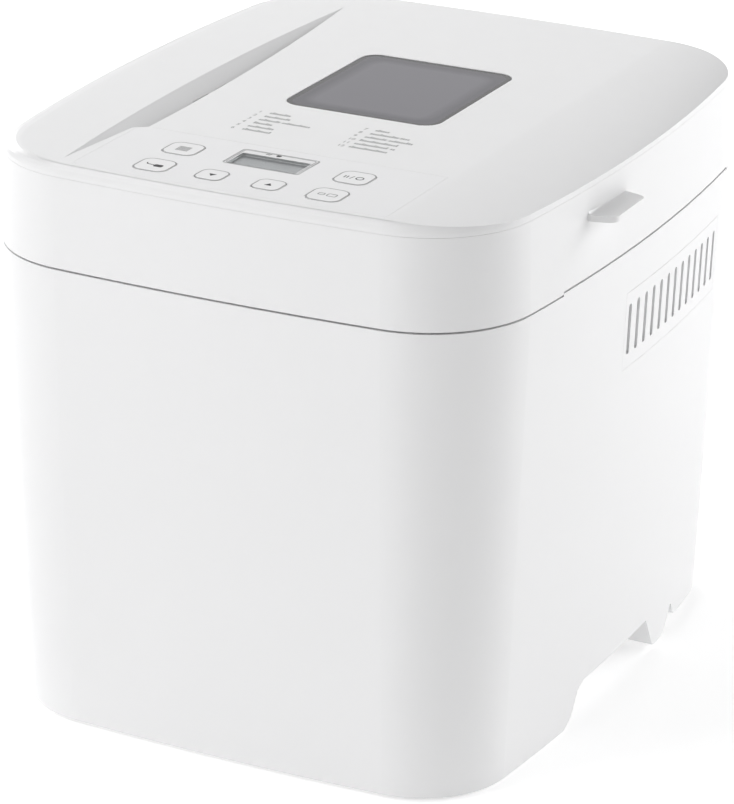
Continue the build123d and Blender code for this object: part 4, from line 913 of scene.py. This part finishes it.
@dataclass
class Lid:
    """Lift-up lid with its window, inner glass, liner and steam duct."""

    shell: MouldedPlastic = MouldedPlastic("lid_plastic", WHITE, 0.3)
    duct: MouldedPlastic = MouldedPlastic("duct_plastic", (0.5, 0.5, 0.51), 0.45)
    liner: RolledSheet = RolledSheet("liner_sheet", (0.78, 0.78, 0.79), Grain.ALONG_Y, 0.34)
    inner_pane: ClearPane = ClearPane("inner_pane")
    seal: Rubber = Rubber("glass_seal_silicone", (0.3, 0.3, 0.31), 0.15, 0.6)
    screw: RolledSheet = RolledSheet("lid_screw_steel", (0.62, 0.62, 0.63), Grain.EVEN, 0.34)
    border: float = 2.6 * MM
    corner: float = 9.0 * MM
    border_colour: Colour = (0.012, 0.012, 0.014)
    # Grey inside the window's border: partly the smoke's tint and partly painted reflection.
    smoke_colour: Colour = (0.1, 0.096, 0.115)
    # Colour of the pane's paler middle: a painted reflection.
    core_colour: Colour = (0.17, 0.165, 0.19)
    smoke_tint: Colour = (0.35, 0.34, 0.38)

    def window_pane(self) -> TintedPane:
        """Fits the outer window's printed border to its pane.

        Returns:
            The window's finish.
        """
        width, depth = spread("window_glass")
        return TintedPane("window_pane", middle("window_glass"), (width / 2, depth / 2),
                          self.corner, self.border, self.border_colour, self.smoke_colour,
                          self.core_colour, self.smoke_tint)

    def dress(self) -> None:
        """Gives each part its finish."""
        dress(["lid_cover", "lid_skirt"], self.shell)
        dress(["window_glass"], self.window_pane())
        dress(["window_duct", "steam_duct"], self.duct)
        dress(["inner_glass"], self.inner_pane)
        dress(["inner_glass_seal"], self.seal)
        dress(["lid_liner"], self.liner)
        dress(["lid_screws"], self.screw)


# ---------------------------------------------------------------- control panel

class Mark(Enum):
    """What is printed on each key."""

    LINES = "menu_key"
    CRUST = "crust_key"
    DOWN = "time_down_key"
    UP = "time_up_key"
    START_STOP = "start_stop_key"
    LOAVES = "loaf_size_key"


# Lengths in millimetres of the words in each row of the two lists.
LEFT_WORDS = ((11.4,), (14.3,), (11.2, 14.4), (9.9,), (13.3,), (14.6,))
RIGHT_WORDS = ((8.0,), (14.6, 5.2), (11.4, 12.6), (19.4,), (17.6, 2.6), (19.8,))


@dataclass
class ControlPanel:
    """Printed film, keys, display and their marks."""

    film: MouldedPlastic = MouldedPlastic("film_lacquer", (0.8, 0.8, 0.808), 0.3, flow=0.006)
    key: MouldedPlastic = MouldedPlastic("key_plastic", (0.81, 0.81, 0.815), 0.3, flow=0.006)
    board: CircuitLaminate = CircuitLaminate("control_laminate", LACQUER, TRACK)
    switch: MouldedPlastic = MouldedPlastic("switch_plastic", (0.04, 0.04, 0.042), 0.4, flow=0.15)
    lens: ClearPane = ClearPane("display_lens_clear", square_on=0.02, grazing=0.15)
    crystal: LiquidCrystal = LiquidCrystal("display_crystal", (0.25, 0.248, 0.262),
                                           (0.29, 0.288, 0.3))
    holder: MouldedPlastic = MouldedPlastic("display_holder_plastic", (0.8, 0.8, 0.805), 0.35)
    dark_ink: Ink = Ink("ink_dark", (0.015, 0.015, 0.017))
    grey_ink: Ink = Ink("ink_grey", (0.13, 0.13, 0.133))
    list_ink: Ink = Ink("ink_list", (0.27, 0.27, 0.274))
    pale_ink: Ink = Ink("ink_pale", (0.3, 0.3, 0.304))
    mask_ink: Ink = Ink("ink_mask", (0.78, 0.78, 0.785), 0.03, 0.35)
    outline_ink: Ink = Ink("ink_outline", (0.33, 0.33, 0.334))
    outline_width: float = 0.5 * MM
    cap_flange: float = 1.2 * MM
    corner_share: float = 0.29
    lift: float = 0.03 * MM
    depth: float = 0.06 * MM
    lens_margin: float = 0.3 * MM
    lens_radius: float = 1.7 * MM
    opening_radius: float = 0.8 * MM
    frame_line: float = 0.4 * MM
    sign_rise: float = 0.2 * MM
    frame_insets: tuple[float, ...] = (0.2 * MM, 2.0 * MM)
    list_drop: float = 17.4 * MM
    left_list: float = -2.4 * MM
    right_list: float = 54.0 * MM
    word_inset: float = 6.0 * MM
    word_gap: float = 1.2 * MM
    row_pitch: float = 5.5 * MM
    tick_pitch: float = 1.25 * MM
    tick_width: float = 0.8 * MM
    tick_radius: float = 0.3 * MM
    baseline: float = 0.9 * MM
    tick_heights: tuple[float, ...] = (1.9 * MM, 2.3 * MM, 1.9 * MM, 2.9 * MM, 2.0 * MM)
    number_size: float = 3.8 * MM
    number_drop: float = 1.1 * MM
    inks: dict[str, bpy.types.Material] = field(default_factory=dict)

    def dress(self) -> None:
        """Gives each part its finish."""
        dress(["control_film"], self.film)
        dress([mark.value for mark in Mark], self.key)
        dress(["control_board"], self.board)
        dress(["key_switches"], self.switch)
        dress(["display_lens"], self.lens)
        dress(["display_glass"], self.crystal)
        dress(["display_holder"], self.holder)

    def ink(self, finish: Ink) -> bpy.types.Material:
        """Makes an ink's material, once.

        Args:
            finish: The ink.

        Returns:
            Its material.
        """
        if finish.name not in self.inks:
            self.inks[finish.name] = finish.material()
        return self.inks[finish.name]

    def print_keys(self) -> None:
        """Prints each key's mark on its cap."""
        drawers = {
            Mark.LINES: (self.draw_lines, self.pale_ink),
            Mark.CRUST: (self.draw_crust, self.dark_ink),
            Mark.DOWN: (self.draw_down, self.dark_ink),
            Mark.UP: (self.draw_up, self.dark_ink),
            Mark.START_STOP: (self.draw_start_stop, self.grey_ink),
            Mark.LOAVES: (self.draw_loaves, self.pale_ink),
        }
        for mark, (draw, ink) in drawers.items():
            key = mark.value
            work = FlatWork(key + "_mark", top_of(key) + self.lift, self.depth, middle(key))
            draw(work)
            work.finish(key + "_cap", self.ink(ink), "key_white")
            self.print_outline(key)

    def print_outline(self, key: str) -> None:
        """Prints the thin line that follows the edge of a key's cap.

        Args:
            key: Name of the key.
        """
        side = spread(key)[0] - 2 * self.cap_flange
        radius = self.corner_share * side
        within = side - 2 * self.outline_width
        work = FlatWork(key + "_outline", top_of(key) + self.lift, self.depth, middle(key))
        work.ring(rounded((0.0, 0.0), (side, side), radius),
                  rounded((0.0, 0.0), (within, within), radius - self.outline_width))
        work.finish(key + "_cap", self.ink(self.outline_ink), "key_white")

    def draw_lines(self, work: FlatWork) -> None:
        """Draws a short list of lines.

        Args:
            work: Mesh that takes the mark.
        """
        for row in range(-2, 3):
            y = row * 1.25 * MM
            work.fill(bar((-3.2 * MM, y), (3.2 * MM, y), 0.75 * MM))

    def draw_crust(self, work: FlatWork) -> None:
        """Draws a loaf and, to its left, the rising line of its browning.

        Args:
            work: Mesh that takes the mark.
        """
        work.fill(rounded((2.2 * MM, -0.6 * MM), (4.6 * MM, 3.2 * MM), 1.0 * MM))
        work.fill(bar((-4.8 * MM, 1.8 * MM), (-4.0 * MM, 0.2 * MM), 0.6 * MM))
        work.fill(bar((-4.1 * MM, 0.2 * MM), (0.2 * MM, -0.4 * MM), 0.6 * MM))

    def draw_down(self, work: FlatWork) -> None:
        """Draws a triangle that points to the front."""
        work.fill([(1.9 * MM, 1.3 * MM), (-1.9 * MM, 1.3 * MM), (0.0, -1.7 * MM)])

    def draw_up(self, work: FlatWork) -> None:
        """Draws a triangle that points to the back."""
        work.fill([(-1.9 * MM, -1.3 * MM), (1.9 * MM, -1.3 * MM), (0.0, 1.7 * MM)])

    def draw_start_stop(self, work: FlatWork) -> None:
        """Draws two bars, a stroke and a ring.

        Args:
            work: Mesh that takes the mark.
        """
        for x in (-5.0 * MM, -3.6 * MM):
            work.fill(bar((x, -1.4 * MM), (x, 1.4 * MM), 0.6 * MM))
        work.fill(bar((-1.8 * MM, -2.0 * MM), (-0.9 * MM, 2.0 * MM), 0.45 * MM))
        centre = (2.6 * MM, 0.0)
        work.ring(circle(centre, 2.1 * MM), circle(centre, 1.45 * MM))

    def draw_loaves(self, work: FlatWork) -> None:
        """Draws the outlines of a small and a large loaf.

        Args:
            work: Mesh that takes the mark.
        """
        line = 1.1 * MM
        for x, width in ((-3.0 * MM, 3.6 * MM), (2.3 * MM, 5.0 * MM)):
            tall = 0.75 * width
            work.ring(rounded((x, 0.0), (width, tall), 0.9 * MM),
                      rounded((x, 0.0), (width - line, tall - line), 0.4 * MM))

    def print_display(self) -> None:
        """Prints the white mask over the display, its thin frames and the two signs."""
        top = top_of("display_lens") + self.lift
        centre = middle("display_lens")
        size = [side - self.lens_margin for side in spread("display_lens")]
        opening = rounded(middle("display_glass"), spread("display_glass"), self.opening_radius)
        mask = FlatWork("display_mask", top, self.depth)
        mask.ring(rounded(centre, size, self.lens_radius), opening)
        mask.finish("lid", self.ink(self.mask_ink), "film_white")
        frames = FlatWork("display_frame_lines", top + self.lift, self.lift)
        for inset in self.frame_insets:
            line = [side - inset for side in size]
            thin = [side - 2 * self.frame_line for side in line]
            frames.ring(rounded(centre, line, 1.6 * MM), rounded(centre, thin, 1.2 * MM))
        frames.finish("lid", self.ink(self.pale_ink), "film_white")
        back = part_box("display_glass")[1].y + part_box("display_lens")[1].y
        y = back / 2 + self.sign_rise
        signs = FlatWork("display_signs", top + self.lift, self.lift, (centre[0], y))
        for x in (-7.0 * MM, -5.7 * MM):
            signs.fill(bar((x, -0.9 * MM), (x + 0.9 * MM, 0.9 * MM), 0.5 * MM))
        signs.fill(circle((-0.6 * MM, 0.0), 1.3 * MM, 20))
        signs.finish("lid", self.ink(self.dark_ink), "film_white")

    def print_lists(self) -> None:
        """Prints the two numbered programme lists between the window and the display."""
        top = top_of("control_film")
        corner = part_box("window_glass")[0]
        first_y = corner.y - self.list_drop
        words = FlatWork("programme_words", top + self.lift, self.depth)
        number = 0
        for side, rows in ((self.left_list, LEFT_WORDS), (self.right_list, RIGHT_WORDS)):
            x = corner.x + side
            for row, lengths in enumerate(rows):
                y = first_y - row * self.row_pitch
                number += 1
                self.print_number(str(number), (x, y), top)
                at = x + self.word_inset
                for length in lengths:
                    self.draw_word(words, (at, y), length * MM, row)
                    at += length * MM + self.word_gap
        words.finish("lid", self.ink(self.list_ink), "film_white")

    def draw_word(self, work: FlatWork, start: Point, length: float, seed: int) -> None:
        """Draws a row of short ticks in place of a word.

        Args:
            work: Mesh that takes the ticks.
            start: Left end of the word's middle line.
            length: Length of the word.
            seed: Number that varies the ticks' heights.
        """
        for i in range(round(length / self.tick_pitch)):
            tall = self.tick_heights[(i * 3 + seed) % len(self.tick_heights)]
            centre = (start[0] + (i + 0.5) * self.tick_pitch, start[1] + tall / 2 - self.baseline)
            work.fill(rounded(centre, (self.tick_width, tall), self.tick_radius, 2))

    def print_number(self, digits: str, at: Point, top: float) -> None:
        """Prints one number of a list.

        Args:
            digits: The number.
            at: Its left end, on its middle line.
            top: Height of the film.
        """
        curve = bpy.data.curves.new("number", "FONT")
        curve.body = digits
        curve.size = self.number_size
        curve.extrude = self.depth / 2
        curve.resolution_u = 3
        writer = show("number_writer", curve)
        bpy.context.view_layer.update()
        graph = bpy.context.evaluated_depsgraph_get()
        data = bpy.data.meshes.new_from_object(writer.evaluated_get(graph))
        bpy.data.objects.remove(writer)
        place = Vector((at[0], at[1] - self.number_drop, top + self.lift - self.depth / 2))
        data.transform(Matrix.Translation(place))
        data.materials.clear()
        data.materials.append(self.ink(self.list_ink))
        piece = show("programme_number_" + digits, data)
        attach(piece, "lid")


# ---------------------------------------------------------------- chamber, pan and drive

@dataclass
class Chamber:
    """Baking chamber with its heating element, shield and sensors."""

    wall: RolledSheet = RolledSheet("chamber_sheet", (0.5, 0.5, 0.5), Grain.ALONG_Z, 0.36,
                                    stain=0.2)
    shield: RolledSheet = RolledSheet("shield_sheet", (0.62, 0.62, 0.63), Grain.ALONG_X, 0.3)
    sheath: HeatedSheath = HeatedSheath("element_sheath", (0.16, 0.15, 0.14), (0.3, 0.26, 0.22))
    clip: RolledSheet = RolledSheet("clip_sheet", (0.55, 0.55, 0.56), Grain.ALONG_Z, 0.32)
    ceramic: GlazedCeramic = GlazedCeramic("bushing_ceramic", (0.78, 0.75, 0.68))
    fuse: MouldedPlastic = MouldedPlastic("fuse_plastic", (0.06, 0.06, 0.065), 0.4, flow=0.15)

    def dress(self) -> None:
        """Gives each part its finish."""
        dress(["baking_chamber"], self.wall)
        dress(["heat_shield"], self.shield)
        dress(["heating_element", "temperature_probe"], self.sheath)
        dress(["heater_clips"], self.clip)
        dress(["heater_bushings"], self.ceramic)
        dress(["thermal_fuse"], self.fuse)


@dataclass
class Pan:
    """Lift-out pan with its foot, shaft, paddle and bail."""

    coating: NonStickCoating = NonStickCoating("pan_coating", (0.055, 0.055, 0.06))
    paddle_coating: NonStickCoating = NonStickCoating("paddle_coating", (0.045, 0.045, 0.05),
                                                      roughness=0.34)
    cast: CastMetal = CastMetal("pan_casting", (0.62, 0.62, 0.63))
    shaft: RolledSheet = RolledSheet("ground_steel", STEEL, Grain.ALONG_Z, 0.2, 0.3 * MM)
    bail: RolledSheet = RolledSheet("bail_wire", (0.7, 0.7, 0.71), Grain.ALONG_X, 0.18, 0.4 * MM)
    bush: CastMetal = CastMetal("bush_bronze", (0.62, 0.42, 0.2), 0.38)
    seal: Rubber = Rubber("shaft_seal_rubber", (0.2, 0.2, 0.21), 0.2, 0.6)

    def dress(self) -> None:
        """Gives each part its finish."""
        dress(["bread_pan"], self.coating)
        dress(["kneading_paddle"], self.paddle_coating)
        dress(["pan_foot_ring", "pan_seat", "wing_coupling", "bail_lugs"], self.cast)
        dress(["pan_shaft"], self.shaft)
        dress(["bail_handle"], self.bail)
        dress(["pan_bush"], self.bush)
        dress(["pan_shaft_seal"], self.seal)


@dataclass
class Drive:
    """Chassis, motor, belt drive and power electronics."""

    plate: RolledSheet = RolledSheet("chassis_sheet", (0.6, 0.6, 0.6), Grain.ALONG_Y, 0.34,
                                     stain=0.16)
    cast: CastMetal = CastMetal("drive_casting", (0.58, 0.58, 0.59))
    shaft: RolledSheet = RolledSheet("drive_steel", STEEL, Grain.ALONG_Z, 0.2, 0.3 * MM)
    pulley: MouldedPlastic = MouldedPlastic("pulley_nylon", (0.045, 0.045, 0.05), 0.4, flow=0.15)
    belt: Rubber = Rubber("belt_rubber_skin", (0.03, 0.03, 0.031))
    can: RolledSheet = RolledSheet("motor_can", (0.5, 0.51, 0.53), Grain.ALONG_Z, 0.32)
    capacitor: MouldedPlastic = MouldedPlastic("capacitor_case", (0.72, 0.72, 0.7), 0.35)
    board: CircuitLaminate = CircuitLaminate("power_laminate", LACQUER, TRACK)
    components: MouldedPlastic = MouldedPlastic("component_resin", (0.05, 0.05, 0.055), 0.4,
                                                flow=0.15)

    def dress(self) -> None:
        """Gives each part its finish."""
        dress(["chassis", "motor_bracket"], self.plate)
        dress(["bearing_housing", "drive_dog"], self.cast)
        dress(["drive_shaft", "motor_shaft"], self.shaft)
        dress(["big_pulley", "motor_pulley"], self.pulley)
        dress(["drive_belt"], self.belt)
        dress(["motor"], self.can)
        dress(["motor_capacitor"], self.capacitor)
        dress(["power_board"], self.board)
        dress(["power_components"], self.components)


# ---------------------------------------------------------------- studio

@dataclass(frozen=True)
class SoftLight:
    """Square studio light that faces the object, 0 degrees being straight in front."""

    name: str
    azimuth: float
    elevation: float
    power: float
    distance: float = 3.0
    side: float = 1.5

    def make(self, target: Vector) -> None:
        """Adds the light.

        Args:
            target: Point that it faces.
        """
        data = bpy.data.lights.new(self.name, "AREA")
        data.shape = "SQUARE"
        data.size = self.side
        data.energy = self.power
        around = math.radians(self.azimuth)
        above = math.radians(self.elevation)
        level = math.cos(above)
        reach = Vector((level * math.sin(around), -level * math.cos(around), math.sin(above)))
        lamp = show(self.name, data)
        lamp.location = target + reach * self.distance
        lamp.rotation_euler = (-reach).to_track_quat("-Z", "Y").to_euler()


@dataclass
class Studio:
    """Pale floor, soft lights, surroundings and camera."""

    floor_half: float = 12.0
    floor_colour: Colour = (0.93, 0.93, 0.93)
    floor_glow: float = 0.36
    surroundings: float = 0.02
    lights: tuple[SoftLight, ...] = (
        SoftLight("low_front", 0, 18, 7.3),
        SoftLight("low_front_right", 30, 18, 4.2),
        SoftLight("low_right_rear", 120, 18, 34.5),
        SoftLight("low_rear_right", 150, 18, 34.5),
        SoftLight("low_rear_left", 210, 18, 11.5),
        SoftLight("low_left_rear", 240, 18, 34),
        SoftLight("low_left", 285, 18, 7),
        SoftLight("low_front_left", 330, 18, 15),
        SoftLight("high_front_left", 315, 50, 35.5),
        SoftLight("high_front_right", 45, 50, 6),
        SoftLight("high_left", 270, 50, 4),
    )
    target: tuple[float, float, float] = (0.0, 0.0, 0.15)
    lens: float = 177.8
    camera_place: tuple[float, float, float] = (0.8249, -1.6426, 0.8644)
    camera_right: tuple[float, float, float] = (0.8912, 0.4536, 0.0089)
    camera_forward: tuple[float, float, float] = (-0.4183, 0.8291, -0.3711)

    def make(self) -> None:
        """Builds the whole studio."""
        self.make_floor()
        self.make_surroundings()
        for light in self.lights:
            light.make(Vector(self.target))
        self.make_camera()

    def make_floor(self) -> None:
        """Lays the floor at the height of the feet."""
        half = self.floor_half
        data = bpy.data.meshes.new("floor")
        corners = [(x * half, y * half, 0.0) for x, y in ((-1, -1), (1, -1), (1, 1), (-1, 1))]
        data.from_pydata(corners, [], [(0, 1, 2, 3)])
        tree = Tree("floor_paper")
        tree.colour(tree.noise(0.4, 3.0), scaled(self.floor_colour, 0.995), self.floor_colour)
        tree.set(Roughness=0.9, Specular_IOR_Level=0.1, Emission_Strength=self.floor_glow,
                 Emission_Color=CLEAR_WHITE)
        data.materials.append(tree.material)
        floor = show("floor", data)

    def make_surroundings(self) -> None:
        """Sets the even light of the room."""
        world = bpy.data.worlds.new("studio")
        world.use_nodes = True
        background = world.node_tree.nodes["Background"]
        background.inputs["Color"].default_value = CLEAR_WHITE
        background.inputs["Strength"].default_value = self.surroundings
        bpy.context.scene.world = world
        bpy.context.scene.view_settings.view_transform = "Standard"

    def make_camera(self) -> None:
        """Places the camera."""
        data = bpy.data.cameras.new("camera")
        data.lens = self.lens
        data.sensor_fit = "VERTICAL"
        data.sensor_height = 36.0
        data.clip_end = 60.0
        camera = show("camera", data)
        right = Vector(self.camera_right).normalized()
        back = -Vector(self.camera_forward).normalized()
        up = back.cross(right)
        turn = Matrix((right, up, back)).transposed().to_4x4()
        camera.matrix_world = Matrix.Translation(self.camera_place) @ turn
        bpy.context.scene.camera = camera


def main() -> None:
    """Builds the studio and every sub-assembly's looks, in order."""
    logging.basicConfig(level=logging.INFO, format="%(name)s: %(message)s")
    Studio().make()
    Casing().dress()
    Lid().dress()
    panel = ControlPanel()
    panel.dress()
    panel.print_keys()
    panel.print_display()
    panel.print_lists()
    Chamber().dress()
    Pan().dress()
    Drive().dress()


if __name__ == "__main__":
    main()
